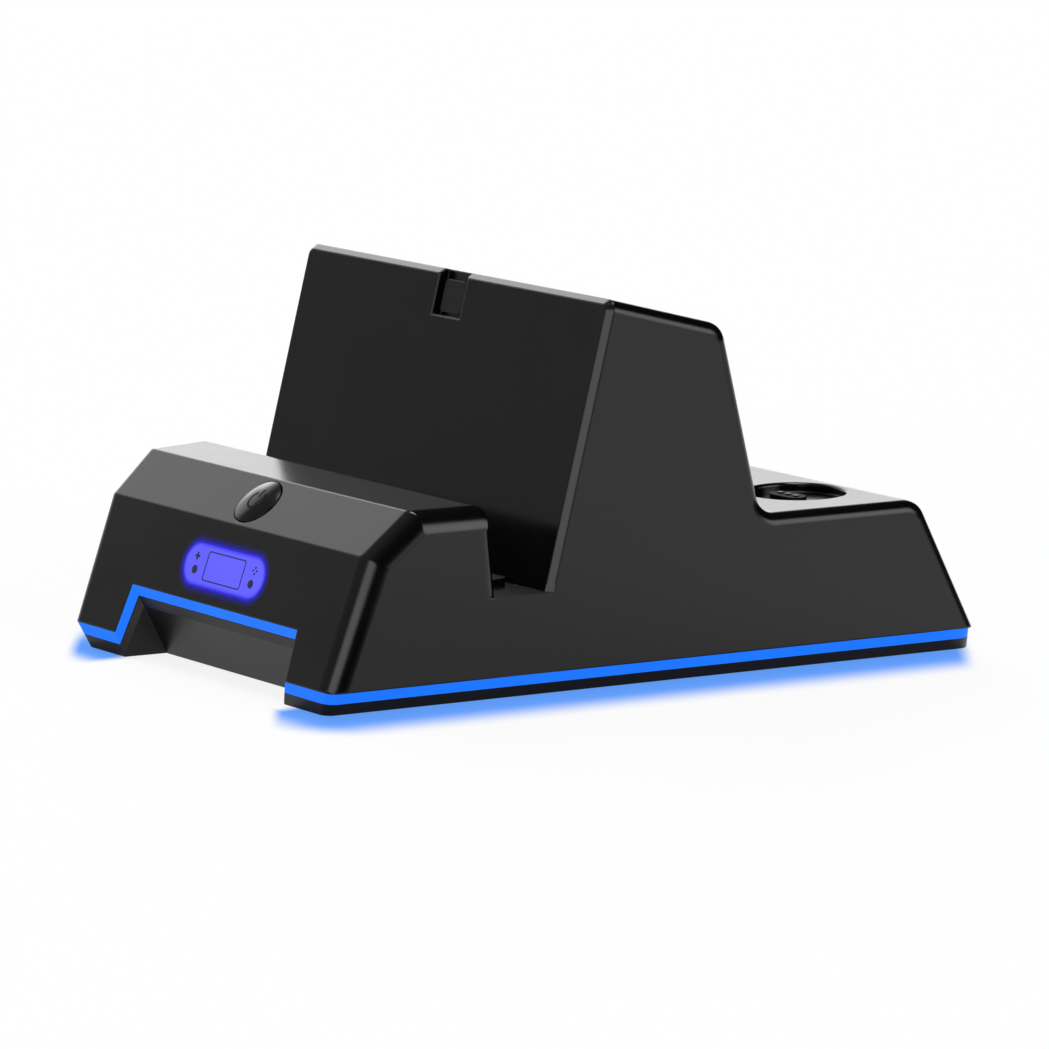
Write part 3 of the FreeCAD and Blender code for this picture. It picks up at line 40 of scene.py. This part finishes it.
# Places, sizes and directions of the part that the looks refer to, in millimetres
FRONT_LINE = Vector((0, -87.5, 6.4))
FRONT_LEAN = math.radians(20.5)
ICON_CENTRE = 21.2
ICON_SIZE = (35.0, 11.5)
ICON_INSET = 0.7
CHAMFER_CENTRE = Vector((0, -70.265, 41.7))
CHAMFER_ANGLE = math.radians(39.4)
BUTTON_RISE = 0.9
BUTTON_DOME = 0.7
BUTTON_WIDTH = 12.9
SLOT_FRONT_Y, SLOT_MIDDLE_Y = -43.0, -37.0
SLOT_REACH, SLOT_LOW = 7.6, 26.6
ACROSS = (1.0, 0.0, 0.0)
FACE_UP = (0.0, math.sin(FRONT_LEAN), math.cos(FRONT_LEAN))
FACE_OUT = (0.0, -math.cos(FRONT_LEAN), math.sin(FRONT_LEAN))
CHAMFER_UP = (0.0, math.cos(CHAMFER_ANGLE), math.sin(CHAMFER_ANGLE))
CHAMFER_OUT = (0.0, -math.sin(CHAMFER_ANGLE), math.cos(CHAMFER_ANGLE))
SIDE_OUT = (0.99, -0.137, 0.035)
SAME_WAY = 0.9996

# Softer looks than the solids have: the block's side round, and the cap's turn and the place of its crown
BLOCK_ROUND = 5.5
DOME_TURN = 0.9
DOME_CROWN = (-1.4, 0.9)

# Painted glow on the floor, the strip's blue light painted into its colour: its ends and the ends of its gap
# at the front notch, along the picture's width, how far from the plan it is full and gone, and by how much a
# side's distance counts more or less
GLOW_LEFT, NOTCH_LEFT, NOTCH_RIGHT, GLOW_RIGHT = -103.5, -90.5, -51.5, 112.5
GLOW_FULL, GLOW_GONE = 3.0, 19.0
NARROWED, NARROWED_FRONT_LEFT, NARROWED_FRONT_RIGHT = 0.85, 1.5, 1.1
GAP_HALF = 34.0

# Plan of the case at the light strip: half widths at the front and the rear, and the two ends
PLAN_FRONT, PLAN_REAR = -86.5, 84.5
PLAN_FRONT_HALF, PLAN_REAR_HALF = 53.5, 77.5


def linear(*levels):
    """Linear colour of 8-bit screen levels."""
    out = []
    for level in levels:
        share = level / 255
        out.append(share / 12.92 if share <= 0.04045 else ((share + 0.055) / 1.055) ** 2.4)
    return tuple(out)


# Camera at the photographer's place, fitted to the photo's straight edges

AZIMUTH, ELEVATION = math.radians(54.117), math.radians(10.102)
CAMERA_PLACE = Vector((1211.7, -869.2, 294.6))
FOCAL_PIXELS, PICTURE_PIXELS = 6227.28, 1049
camera = bpy.data.objects.new("camera", bpy.data.cameras.new("camera"))
scene.collection.objects.link(camera)
scene.camera = camera
back = Vector((math.sin(AZIMUTH) * math.cos(ELEVATION), -math.cos(AZIMUTH) * math.cos(ELEVATION),
               math.sin(ELEVATION)))
camera.location = CAMERA_PLACE * MM
camera.rotation_mode = "QUATERNION"
camera.rotation_quaternion = (-back).to_track_quat("-Z", "Y")
camera.data.sensor_width = 36.0
camera.data.lens = camera.data.sensor_width * FOCAL_PIXELS / PICTURE_PIXELS
camera.data.clip_start, camera.data.clip_end = 0.01, 100.0


# Shader graphs

class Graph:
    """A short way to write a node tree: links are made wherever a socket is given as an input."""

    def __init__(self, owner):
        owner.use_nodes = True
        self.tree = owner.node_tree
        self.tree.nodes.clear()

    def add(self, kind, inputs=(), out=0, **settings):
        node = self.tree.nodes.new(kind)
        for name, value in settings.items():
            setattr(node, name, value)
        for key, value in dict(inputs).items():
            if isinstance(value, bpy.types.NodeSocket):
                self.tree.links.new(value, node.inputs[key])
            else:
                node.inputs[key].default_value = value
        return node.outputs[out] if node.outputs else None

    def math(self, operation, *values, clamp=False):
        return self.add("ShaderNodeMath", enumerate(values), operation=operation, use_clamp=clamp)

    def vector(self, operation, first, second=None, out=0):
        inputs = {0: first}
        if second is not None:
            inputs[3 if operation == "SCALE" else 1] = second
        return self.add("ShaderNodeVectorMath", inputs, out, operation=operation)

    def dot(self, first, second):
        return self.vector("DOT_PRODUCT", first, second, out=1)

    def spread(self, value, low, high, to_low=0.0, to_high=1.0, smooth=True):
        """Map a range onto another, held at its ends."""
        ends = {"Value": value, "From Min": low, "From Max": high, "To Min": to_low, "To Max": to_high}
        return self.add("ShaderNodeMapRange", ends, interpolation_type="SMOOTHSTEP" if smooth else "LINEAR")

    def mix(self, share, first, second):
        """Mix of two colours."""
        return self.add("ShaderNodeMix", {0: share, 6: first, 7: second}, 2, data_type="RGBA")

    def between(self, share, first, second):
        """Mix of two directions."""
        return self.add("ShaderNodeMix", {0: share, 4: first, 5: second}, 1, data_type="VECTOR")

    def all_of(self, *shares):
        """Product of shares."""
        product = shares[0]
        for share in shares[1:]:
            product = self.math("MULTIPLY", product, share)
        return product

    def length(self, first, second):
        """Length of two distances at a right angle."""
        squares = [self.math("MULTIPLY", value, value) for value in (first, second)]
        return self.math("SQRT", self.math("ADD", *squares))

    def part_above(self, value, limit):
        """How far a value lies above a limit, or nothing."""
        return self.math("MAXIMUM", self.math("SUBTRACT", value, limit), 0.0)

    def axis(self, place, number):
        return self.add("ShaderNodeSeparateXYZ", {0: place}, number)

    def noise(self, place, scale, detail=2.0, rough=0.5):
        return self.add("ShaderNodeTexNoise", {"Vector": place, "Scale": scale, "Detail": detail,
                                               "Roughness": rough})

    def millimetres(self):
        """The place on the part, in millimetres."""
        place = self.add("ShaderNodeTexCoord", out=3)
        return self.vector("SCALE", place, 1 / MM)

    def surface(self, shader):
        self.add("ShaderNodeOutputMaterial", {"Surface": shader})


def rgba(colour):
    return (*colour, 1.0)


def scaled(colour, gain):
    return rgba([min(1.0, part * gain) for part in colour])


def edge_mask(graph, radius, low=0.02, high=0.35):
    """Where an edge lies within a radius, and the normal rounded over it."""
    rounded = graph.add("ShaderNodeBevel", {"Radius": radius * MM}, samples=6)
    flat = graph.add("ShaderNodeNewGeometry", out=1)
    turn = graph.math("SUBTRACT", 1.0, graph.dot(rounded, flat))
    return graph.spread(turn, low, high), rounded


def finish_material(name, colour, roughness, grain=0.3, relief=0.004, mottle=0.1, edge=0.35, wear=0.3,
                    metallic=0.0, ior=1.5, extra=None, soften=None, **sockets):
    """A moulded or metal finish: fine grain in the relief, uneven sheen, slightly worn edges."""
    material = bpy.data.materials.new(name)
    graph = Graph(material)
    place = graph.millimetres()
    fine = graph.noise(place, 1 / grain, 3.0, 0.6)
    patches = graph.noise(place, 0.07, 3.0, 0.55)
    streaks = graph.noise(graph.vector("MULTIPLY", place, (0.9, 0.9, 0.12)), 1.0, 2.0, 0.5)
    worn, rounded = edge_mask(graph, edge)
    if soften:
        rounded = soften(graph, place, rounded)
    tone = graph.mix(graph.spread(patches, 0.3, 0.7), scaled(colour, 1 - mottle), scaled(colour, 1 + mottle))
    tone = graph.mix(graph.math("MULTIPLY", worn, wear), tone, scaled(colour, 1.9))
    sheen = graph.spread(patches, 0.3, 0.7, roughness - 0.012, roughness + 0.012)
    sheen = graph.math("ADD", sheen, graph.spread(streaks, 0.3, 0.7, -0.006, 0.006))
    sheen = graph.math("ADD", sheen, graph.math("MULTIPLY", worn, 0.06), clamp=True)
    relieved = graph.add("ShaderNodeBump", {"Strength": 0.35, "Distance": relief * MM, "Height": fine,
                                            "Normal": rounded})
    inputs = {"Base Color": tone, "Roughness": sheen, "Metallic": metallic, "IOR": ior, "Normal": relieved}
    inputs.update({key.replace("_", " "): value for key, value in sockets.items()})
    if extra:
        inputs.update(extra(graph, place, inputs))
    graph.surface(graph.add("ShaderNodeBsdfPrincipled", inputs))
    return material


def flat_plane(towards, front_of=1000.0):
    """Normal and distance in millimetres of the housing's outermost facet that looks towards a direction."""
    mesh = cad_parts["upper_housing"].data
    facing = [face for face in mesh.polygons
              if face.normal.dot(Vector(towards)) > SAME_WAY and face.center.y < front_of * MM]
    outermost = max(facing, key=lambda face: face.normal.dot(face.center))
    return outermost.normal.copy(), outermost.normal.dot(outermost.center) / MM


# Planes of the front block: right side, front face, sloping face and top
BLOCK_PLANES = [flat_plane(SIDE_OUT), flat_plane(FACE_OUT), flat_plane(CHAMFER_OUT),
                flat_plane((0.0, 0.0, 1.0), SLOT_FRONT_Y)]


def soft_sides(graph, place, rounded):
    """Turn the normal over the front block's right side edge, which looks softer than the others."""
    along, height = graph.axis(place, 1), graph.axis(place, 2)
    side, front, chamfer, top = (graph.math("SUBTRACT", distance, graph.dot(place, tuple(normal)))
                                 for normal, distance in BLOCK_PLANES)
    side_out, front_out, chamfer_out, top_out = (tuple(normal) for normal, distance in BLOCK_PLANES)

    over_chamfer = graph.spread(graph.math("SUBTRACT", front, chamfer), -0.4, 0.4)
    slope = graph.math("MINIMUM", front, chamfer)
    over_top = graph.spread(graph.math("SUBTRACT", slope, top), -0.4, 0.4)
    profile_out = graph.between(over_top, graph.between(over_chamfer, front_out, chamfer_out), top_out)
    profile = graph.math("MINIMUM", slope, top)
    to_side, to_profile = graph.part_above(BLOCK_ROUND, side), graph.part_above(BLOCK_ROUND, profile)
    turned = graph.vector("NORMALIZE", graph.vector("ADD", graph.vector("SCALE", side_out, to_side),
                                                    graph.vector("SCALE", profile_out, to_profile)))
    share = graph.all_of(graph.spread(side, BLOCK_ROUND - 0.3, BLOCK_ROUND, 1.0, 0.0),
                         graph.spread(profile, BLOCK_ROUND - 0.3, BLOCK_ROUND, 1.0, 0.0),
                         graph.spread(along, SLOT_FRONT_Y - 3.0, SLOT_FRONT_Y - 0.5, 1.0, 0.0),
                         graph.spread(height, FRONT_LINE.z + 0.1, FRONT_LINE.z + 0.6))

    # The rounding of edges is left off in the slot's corners and round the lens
    from_middle = graph.math("ABSOLUTE", graph.math("SUBTRACT", along, SLOT_MIDDLE_Y))
    in_slot = graph.all_of(graph.spread(from_middle, SLOT_REACH, SLOT_REACH + 0.4, 1.0, 0.0),
                           graph.spread(height, SLOT_LOW, SLOT_LOW + 0.6, 1.0, 0.0))
    at_lens = graph.spread(icon_distance(graph, place)[0], ICON_INSET + 1.2, ICON_INSET + 2.0, 1.0, 0.0)
    plain = graph.math("MAXIMUM", in_slot, at_lens)
    rounded = graph.between(plain, rounded, graph.add("ShaderNodeNewGeometry", out=1))
    return graph.vector("NORMALIZE", graph.between(share, rounded, turned))


def round_dome(graph, place, rounded):
    """Turn the cap's normal as a rounder dome does: its top reads brighter up the slope than down it."""
    crown = CHAMFER_CENTRE + Vector((DOME_CROWN[0], 0, 0)) + Vector(CHAMFER_UP) * DOME_CROWN[1]
    from_crown = graph.vector("SUBTRACT", place, tuple(crown))
    across, up = (graph.math("MULTIPLY", graph.dot(from_crown, towards), DOME_TURN / BUTTON_WIDTH)
                  for towards in (ACROSS, CHAMFER_UP))
    turned = graph.vector("ADD", graph.vector("SCALE", ACROSS, across), graph.vector("SCALE", CHAMFER_UP, up))
    turned = graph.vector("NORMALIZE", graph.vector("ADD", turned, CHAMFER_OUT))
    share = graph.spread(graph.dot(rounded, CHAMFER_OUT), 0.75, 0.95)
    return graph.vector("NORMALIZE", graph.between(share, rounded, turned))


def dress(names, material):
    for name in names:
        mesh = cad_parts[name].data
        mesh.materials.clear()
        mesh.materials.append(material)


# Lit pictogram, and a painted glow round it: the housing's black wall itself emits blue near the lens

ICON_BLUE = linear(95, 93, 255)
HALO_BLUE = linear(24, 12, 215)
STRIP_BLUE = linear(28, 118, 255)


def icon_distance(graph, place):
    """Distance in millimetres from the outline of the lit shape, and from the front face."""
    from_line = graph.vector("SUBTRACT", place, tuple(FRONT_LINE))
    half_straight = (ICON_SIZE[0] - ICON_SIZE[1]) / 2
    beyond = graph.part_above(graph.math("ABSOLUTE", graph.axis(place, 0)), half_straight)
    up = graph.math("SUBTRACT", graph.dot(from_line, FACE_UP), ICON_CENTRE)
    distance = graph.math("SUBTRACT", graph.length(beyond, up), ICON_SIZE[1] / 2 - ICON_INSET)
    return distance, graph.dot(from_line, FACE_OUT)


def fading(graph, distance):
    """Light that fades away from the outline of the lit shape."""
    near = graph.spread(distance, 0.0, 2.8, 1.0, 0.0, smooth=False)
    return graph.math("POWER", near, 3.0)


# Painted glow: the housing's front face emits blue that fades away from the outline of the lit shape
def painted_halo(graph, place, inputs):
    distance, proud = icon_distance(graph, place)
    on_face = graph.spread(graph.math("ABSOLUTE", proud), 0.2, 0.6, 1.0, 0.0)
    strength = graph.math("MULTIPLY", fading(graph, distance), on_face)
    return {"Emission Color": rgba(HALO_BLUE), "Emission Strength": strength}


def lens_glow(graph, place, inputs):
    distance, proud = icon_distance(graph, place)
    colour = graph.mix(graph.spread(distance, -0.9, -0.1), rgba(ICON_BLUE), rgba(linear(66, 58, 255)))
    colour = graph.mix(graph.spread(distance, -0.15, 0.1), colour, rgba(HALO_BLUE))
    uneven = graph.spread(graph.noise(place, 0.12, 1.0), 0.3, 0.7, 0.94, 1.0)
    strength = graph.math("MULTIPLY", uneven, fading(graph, distance))
    return {"Emission Color": colour, "Emission Strength": strength}


def strip_glow(graph, place, inputs):
    uneven = graph.spread(graph.noise(place, 0.08, 1.0), 0.3, 0.7, 0.95, 1.0)
    return {"Emission Color": rgba(STRIP_BLUE), "Emission Strength": uneven}


# Circuit boards

def board_material():
    material = bpy.data.materials.new("board_mask")
    graph = Graph(material)
    place = graph.millimetres()
    tracks = graph.add("ShaderNodeTexBrick", {
        "Vector": place, "Color1": rgba((0.004, 0.045, 0.018)), "Color2": rgba((0.006, 0.06, 0.024)),
        "Mortar": rgba((0.012, 0.11, 0.045)), "Scale": 0.5, "Mortar Size": 0.03, "Brick Width": 0.9,
        "Row Height": 0.35})
    dots = graph.add("ShaderNodeTexVoronoi", {"Vector": place, "Scale": 0.42}, 0)
    pads = graph.spread(dots, 0.13, 0.16, 1.0, 0.0)
    tone = graph.mix(pads, tracks, rgba((0.75, 0.5, 0.16)))
    worn, rounded = edge_mask(graph, 0.1)
    tone = graph.mix(worn, tone, rgba((0.22, 0.19, 0.1)))
    weave = graph.noise(place, 3.0, 2.0)
    relieved = graph.add("ShaderNodeBump", {"Strength": 0.4, "Distance": 0.02 * MM, "Height": weave,
                                            "Normal": rounded})
    sheen = graph.spread(pads, 0.0, 1.0, 0.38, 0.22)
    graph.surface(graph.add("ShaderNodeBsdfPrincipled", {
        "Base Color": tone, "Roughness": sheen, "Metallic": pads, "Normal": relieved}))
    return material


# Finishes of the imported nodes

BLACK = (0.0028, 0.0028, 0.0029)
# The case carries a painted blue glow on its front face round the lens
dress(["upper_housing"],
      finish_material("case_black", BLACK, 0.18, extra=painted_halo, edge=0.6, relief=0.002, soften=soft_sides))
dress(["base_plate"],
      finish_material("base_black", (0.0052, 0.005, 0.0049), 0.34, relief=0.008, Specular_IOR_Level=0.43))
dress(["power_button"], finish_material("button_black", BLACK, 0.18, relief=0.002, soften=round_dome))
dress(["rest_pad"], finish_material("pad_black", (0.005, 0.005, 0.0053), 0.24))
dress(["slot_cradle"], finish_material("cradle_black", (0.004, 0.006, 0.012), 0.1, relief=0.002))
dress(["contact_block_left", "contact_block_right"],
      finish_material("contact_block_black", (0.003, 0.003, 0.0033), 0.6, Specular_IOR_Level=0.15))
dress(["plug_body"], finish_material("plug_black", (0.012, 0.012, 0.013), 0.45, grain=0.2))
dress(["button_switch"], finish_material("switch_black", (0.02, 0.02, 0.022), 0.5, grain=0.2))
dress(["switch_plunger"], finish_material("plunger_white", (0.6, 0.6, 0.57), 0.45, wear=0.0, grain=0.2))
dress(["icon_light_guide"], finish_material("guide_clear", (0.7, 0.74, 0.85), 0.25, wear=0.0, ior=1.49,
                                            Transmission_Weight=0.6))
dress(["icon_lens"], finish_material("lens_lit", (0.02, 0.02, 0.05), 0.4, wear=0.0, edge=0.1, extra=lens_glow,
                                     Specular_IOR_Level=0.15))
dress(["light_strip"], finish_material("strip_lit", (0.002, 0.02, 0.1), 0.5, wear=0.0, edge=0.1,
                                       extra=strip_glow, Specular_IOR_Level=0.1))
# The pins' gold is made far darker than gold, a painted shade for the dim recess they sit in
dress(["contact_pins_left", "contact_pins_right"],
      finish_material("pin_gold_painted_dark", (0.12, 0.085, 0.04), 0.45, grain=0.15, metallic=1.0, edge=0.12))
dress(["plug_shell", "power_inlet"],
      finish_material("shell_nickel", (0.62, 0.61, 0.59), 0.24, relief=0.006, metallic=1.0, edge=0.1))
dress(["board_screws", "case_screws"],
      finish_material("screw_zinc", (0.34, 0.34, 0.35), 0.32, grain=0.2, relief=0.01, metallic=1.0,
                      edge=0.15))
dress(["ballast_plate"],
      finish_material("ballast_steel", (0.38, 0.385, 0.4), 0.42, grain=0.5, relief=0.02, metallic=1.0,
                      edge=0.3))
dress(["front_left_foot", "front_right_foot", "rear_left_foot", "rear_right_foot"],
      finish_material("foot_rubber", (0.018, 0.018, 0.018), 0.78, grain=0.35, relief=0.03, wear=0.6,
                      edge=0.2))
dress(["strip_leds"], finish_material("led_white", (0.72, 0.7, 0.55), 0.35, wear=0.0, edge=0.1))
BOARDS = ["front_board", "plug_board", "main_board", "icon_board", "cup_board_left", "cup_board_right",
          "led_board_left", "led_board_right", "led_board_rear", "led_board_front_left",
          "led_board_front_right"]
dress(BOARDS, board_material())


# Small marks that are printed or inlaid: thin plates with softly rounded outlines

def mesh_object(name, bm, material, body):
    bmesh.ops.remove_doubles(bm, verts=bm.verts, dist=1e-7)
    bmesh.ops.recalc_face_normals(bm, faces=bm.faces)
    mesh = bpy.data.meshes.new(name)
    bm.to_mesh(mesh)
    bm.free()
    mesh.materials.append(material)
    made = bpy.data.objects.new(name, mesh)
    scene.collection.objects.link(made)
    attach(made, body)


def rounded_outline(length, width, radius, steps=8):
    """Corner points of a rectangle with round corners, counter-clockwise."""
    points = []
    for quarter, (sx, sy) in enumerate(((1, 1), (-1, 1), (-1, -1), (1, -1))):
        for step in range(steps + 1):
            turn = math.pi / 2 * (quarter + step / steps)
            points.append((sx * (length / 2 - radius) + radius * math.cos(turn),
                           sy * (width / 2 - radius) + radius * math.sin(turn)))
    return points


def plate(bm, outline, low, high, to_place, hole=None):
    """A thin plate between two heights, with an optional hole of as many points as the outline."""
    def ring(points, height):
        return [bm.verts.new(to_place(x, y, height)) for x, y in points]

    outer_low, outer_high = ring(outline, low), ring(outline, high)
    count = len(outline)
    for index in range(count):
        following = (index + 1) % count
        bm.faces.new((outer_low[index], outer_low[following], outer_high[following], outer_high[index]))
    if hole is None:
        bm.faces.new(outer_high)
        bm.faces.new(list(reversed(outer_low)))
        return
    inner_low, inner_high = ring(hole, low), ring(hole, high)
    for index in range(count):
        following = (index + 1) % count
        bm.faces.new((inner_low[following], inner_low[index], inner_high[index], inner_high[following]))
        bm.faces.new((outer_high[index], outer_high[following], inner_high[following], inner_high[index]))
        bm.faces.new((outer_low[following], outer_low[index], inner_low[index], inner_low[following]))


def moved(points, x, y):
    return [(px + x, py + y) for px, py in points]


def on_front_face(x, y, height):
    """A point of the pictogram's frame: x across, y up from its centre, height out of the face."""
    base = FRONT_LINE + Vector(FACE_UP) * (ICON_CENTRE + y) + Vector(FACE_OUT) * height
    return (base + Vector((x, 0, 0))) * MM


MARK_INK = finish_material("mark_ink", linear(12, 10, 60), 0.4, wear=0.0, edge=0.05, grain=0.2)
MARK_LOW, MARK_HIGH, SIGN_HIGH = -0.05, 0.06, 0.03


def make_icon_marks():
    """A plain handheld: a screen outline, a cross pad, four dots and two thumb sticks."""
    bm = bmesh.new()
    plate(bm, rounded_outline(16.0, 7.3, 0.8), MARK_LOW, MARK_HIGH, on_front_face,
          hole=rounded_outline(15.4, 6.7, 0.5))
    cross = [(-0.28, -0.95), (0.28, -0.95), (0.28, -0.28), (0.95, -0.28), (0.95, 0.28), (0.28, 0.28),
             (0.28, 0.95), (-0.28, 0.95), (-0.28, 0.28), (-0.95, 0.28), (-0.95, -0.28), (-0.28, -0.28)]
    plate(bm, moved(cross, -12.3, 1.8), MARK_LOW, MARK_HIGH, on_front_face)
    for x, y in ((0, 0.75), (0.75, 0), (0, -0.75), (-0.75, 0)):
        dot = rounded_outline(0.6, 0.6, 0.3)
        plate(bm, moved(dot, 12.3 + x, 1.8 + y), MARK_LOW, MARK_HIGH, on_front_face)
    for x in (-12.0, 12.0):
        plate(bm, moved(rounded_outline(2.1, 2.1, 1.05), x, -1.5), MARK_LOW, MARK_HIGH, on_front_face)
    mesh_object("icon_marks", bm, MARK_INK, "root")


make_icon_marks()


def on_button(x, y, height):
    """A point over the domed cap: x across, y up the sloping face, height above the dome."""
    half = BUTTON_WIDTH / 2
    ball = (half * half + BUTTON_DOME ** 2) / (2 * BUTTON_DOME)
    rise = BUTTON_RISE - ball + math.sqrt(ball * ball - x * x - y * y) + height
    return (CHAMFER_CENTRE + Vector((x, 0, 0)) + Vector(CHAMFER_UP) * y + Vector(CHAMFER_OUT) * rise) * MM


def make_button_mark():
    """A broken ring and a bar, the common sign for on and standby, inlaid in the cap."""
    bm = bmesh.new()
    inner, outer, gap, steps = 2.15, 2.75, math.radians(32), 40
    rows = []
    for step in range(steps + 1):
        turn = math.pi / 2 + gap + (2 * math.pi - 2 * gap) * step / steps
        rows.append([bm.verts.new(on_button(radius * math.cos(turn), radius * math.sin(turn), height))
                     for radius, height in ((inner, MARK_LOW), (inner, SIGN_HIGH),
                                            (outer, SIGN_HIGH), (outer, MARK_LOW))])
    for first, second in zip(rows, rows[1:]):
        for index in range(4):
            following = (index + 1) % 4
            bm.faces.new((first[index], second[index], second[following], first[following]))
    bm.faces.new(rows[0])
    bm.faces.new(list(reversed(rows[-1])))
    plate(bm, moved(rounded_outline(0.6, 2.6, 0.29, 4), 0, 2.1), MARK_LOW, SIGN_HIGH, on_button)
    ink = finish_material("mark_black", (0.003, 0.003, 0.003), 0.6, wear=0.0, Specular_IOR_Level=0.1)
    mesh_object("button_mark", bm, ink, "button")


make_button_mark()


# Floor: plain and pale, with the strip's light painted on it close to the case as a blue glow in its colour

FLOOR_SIZE = 12.0
FLOOR_STRENGTH, FLOOR_GLOWING = 1.075, 0.8


def floor_material():
    material = bpy.data.materials.new("pale_floor")
    graph = Graph(material)
    place = graph.millimetres()
    x, y = graph.axis(place, 0), graph.axis(place, 1)
    middle_y, half_depth = (PLAN_FRONT + PLAN_REAR) / 2, (PLAN_REAR - PLAN_FRONT) / 2
    slope = (PLAN_REAR_HALF - PLAN_FRONT_HALF) / (PLAN_REAR - PLAN_FRONT)
    back_y = graph.math("SUBTRACT", y, middle_y)
    widening = graph.math("MULTIPLY", back_y, slope)
    half_width = graph.math("ADD", (PLAN_FRONT_HALF + PLAN_REAR_HALF) / 2, widening)

    # Distance from the plan, with each side's own share
    left_x, front_y = graph.math("MULTIPLY", x, -1.0), graph.math("MULTIPLY", back_y, -1.0)
    beyond_sides = graph.math("ADD", graph.part_above(x, half_width), graph.part_above(left_x, half_width))
    beyond_rear = graph.math("MULTIPLY", graph.part_above(back_y, half_depth), NARROWED)
    beyond_front = graph.math("MULTIPLY", graph.part_above(front_y, half_depth),
                              graph.spread(x, -40.0, 40.0, NARROWED_FRONT_LEFT, NARROWED_FRONT_RIGHT))
    away = graph.length(graph.math("MULTIPLY", beyond_sides, NARROWED),
                        graph.math("ADD", beyond_rear, beyond_front))

    # Ends of the painted glow, and its gap at the front notch
    sideways = graph.dot(place, (math.cos(AZIMUTH), math.sin(AZIMUTH), 0.0))
    in_notch = graph.all_of(graph.spread(sideways, NOTCH_RIGHT - 1.5, NOTCH_RIGHT + 2.0, 1.0, 0.0),
                            graph.spread(sideways, NOTCH_LEFT - 2.0, NOTCH_LEFT + 1.0))
    between_feet = graph.spread(graph.math("ABSOLUTE", x), GAP_HALF, GAP_HALF + 6.0, 1.0, 0.0)
    in_notch = graph.all_of(graph.math("MAXIMUM", in_notch, between_feet), graph.spread(y, -45.0, -60.0))
    # Painted glow: the strip's blue light is painted into the floor's colour, fading with distance from the
    # plan
    painted_glow = graph.all_of(graph.spread(away, GLOW_FULL, GLOW_GONE, 1.0, 0.0),
                        graph.spread(sideways, GLOW_LEFT - 2.0, GLOW_LEFT + 2.0),
                        graph.spread(sideways, GLOW_RIGHT - 2.5, GLOW_RIGHT + 2.5, 1.0, 0.0),
                        graph.math("SUBTRACT", 1.0, in_notch))

    # The floor glows white for the camera. What a glossy face sends back is painted shade: dimmer, most to
    # the right, and grey near the case
    # The floor's lit colour turns blue near the case, a painted glow
    painted_glow_tint = graph.mix(painted_glow, rgba((0.93, 0.93, 0.93)), rgba(linear(92, 156, 252)))
    lit = graph.add("ShaderNodeBsdfDiffuse", {"Color": painted_glow_tint})
    path = graph.tree.nodes.new("ShaderNodeLightPath").outputs
    mirrored = graph.math("ADD", path["Is Glossy Ray"], path["Is Transmission Ray"], clamp=True)
    shown = graph.math("ADD", path["Is Camera Ray"], mirrored, clamp=True)
    # Camera rays see the painted blue glow near the case, glossy rays a painted grey shade there
    painted_glow_and_reflected_shade = graph.mix(mirrored, rgba(linear(102, 162, 252)), rgba(linear(132, 138, 142)))
    # Painted shade in reflections: the floor that a glossy face mirrors is dimmed by where it lies
    beside = graph.all_of(graph.spread(x, 250.0, 450.0, 1.0, 0.0), graph.spread(y, -20.0, 140.0, -0.24, 0.1))
    painted_reflection_shade = graph.math("MULTIPLY", mirrored, graph.math("SUBTRACT", beside, 0.18))
    strength = graph.math("ADD", FLOOR_STRENGTH, painted_reflection_shade)
    white = graph.add("ShaderNodeEmission", {"Color": graph.mix(painted_glow, rgba((1, 1, 1)), painted_glow_and_reflected_shade),
                                             "Strength": strength})
    share = graph.math("MULTIPLY", shown, FLOOR_GLOWING)
    graph.surface(graph.add("ShaderNodeMixShader", {0: share, 1: lit, 2: white}))
    return material


floor_mesh = bmesh.new()
bmesh.ops.create_grid(floor_mesh, x_segments=1, y_segments=1, size=FLOOR_SIZE)
floor_data = bpy.data.meshes.new("floor")
floor_mesh.to_mesh(floor_data)
floor_mesh.free()
floor = bpy.data.objects.new("floor", floor_data)
floor_data.materials.append(floor_material())
scene.collection.objects.link(floor)


# Soft studio light: a dim room with glowing panels that have no hard edge. Each is the direction it
# stands in, the angles in degrees from there at which it is full and gone, and its strength. The words
# beside it say which faces mirror it towards the photographer

ROOM = 0.01
PANELS = [
    ((-0.90, -0.05, 0.50), 18, 31, 1.15),   # sloping face with the button
    ((-0.85, 0.50, 0.17), 14, 24, 1.65),    # level faces
    ((0.45, -0.83, 0.33), 6, 18, 1.9),      # round between the front and the right side
    ((-0.70, -0.70, 0.10), 55, 100, 0.24),  # front face and back rest
    ((0.88, 0.35, 0.36), 8, 24, 2.6),       # upper rounds of the right side
    ((-0.797, 0.28, 0.53), 4, 12, 2.2),     # front edge of the level faces
    ((0.0, 0.0, 1.0), 8, 15, 8.0),          # no flat face: it lights from above
]


def make_room_light():
    world = bpy.data.worlds.new("studio")
    scene.world = world
    graph = Graph(world)
    towards = graph.add("ShaderNodeTexCoord", out=0)
    total = ROOM
    for centre, inner, outer, strength in PANELS:
        facing = graph.dot(towards, tuple(Vector(centre).normalized()))
        edges = math.cos(math.radians(outer)), math.cos(math.radians(inner))
        panel = graph.spread(facing, *edges, 0.0, strength)
        total = graph.math("ADD", panel, total)
    background = graph.add("ShaderNodeBackground", {"Color": (1, 1, 1, 1), "Strength": total})
    graph.add("ShaderNodeOutputWorld", {"Surface": background})


make_room_light()
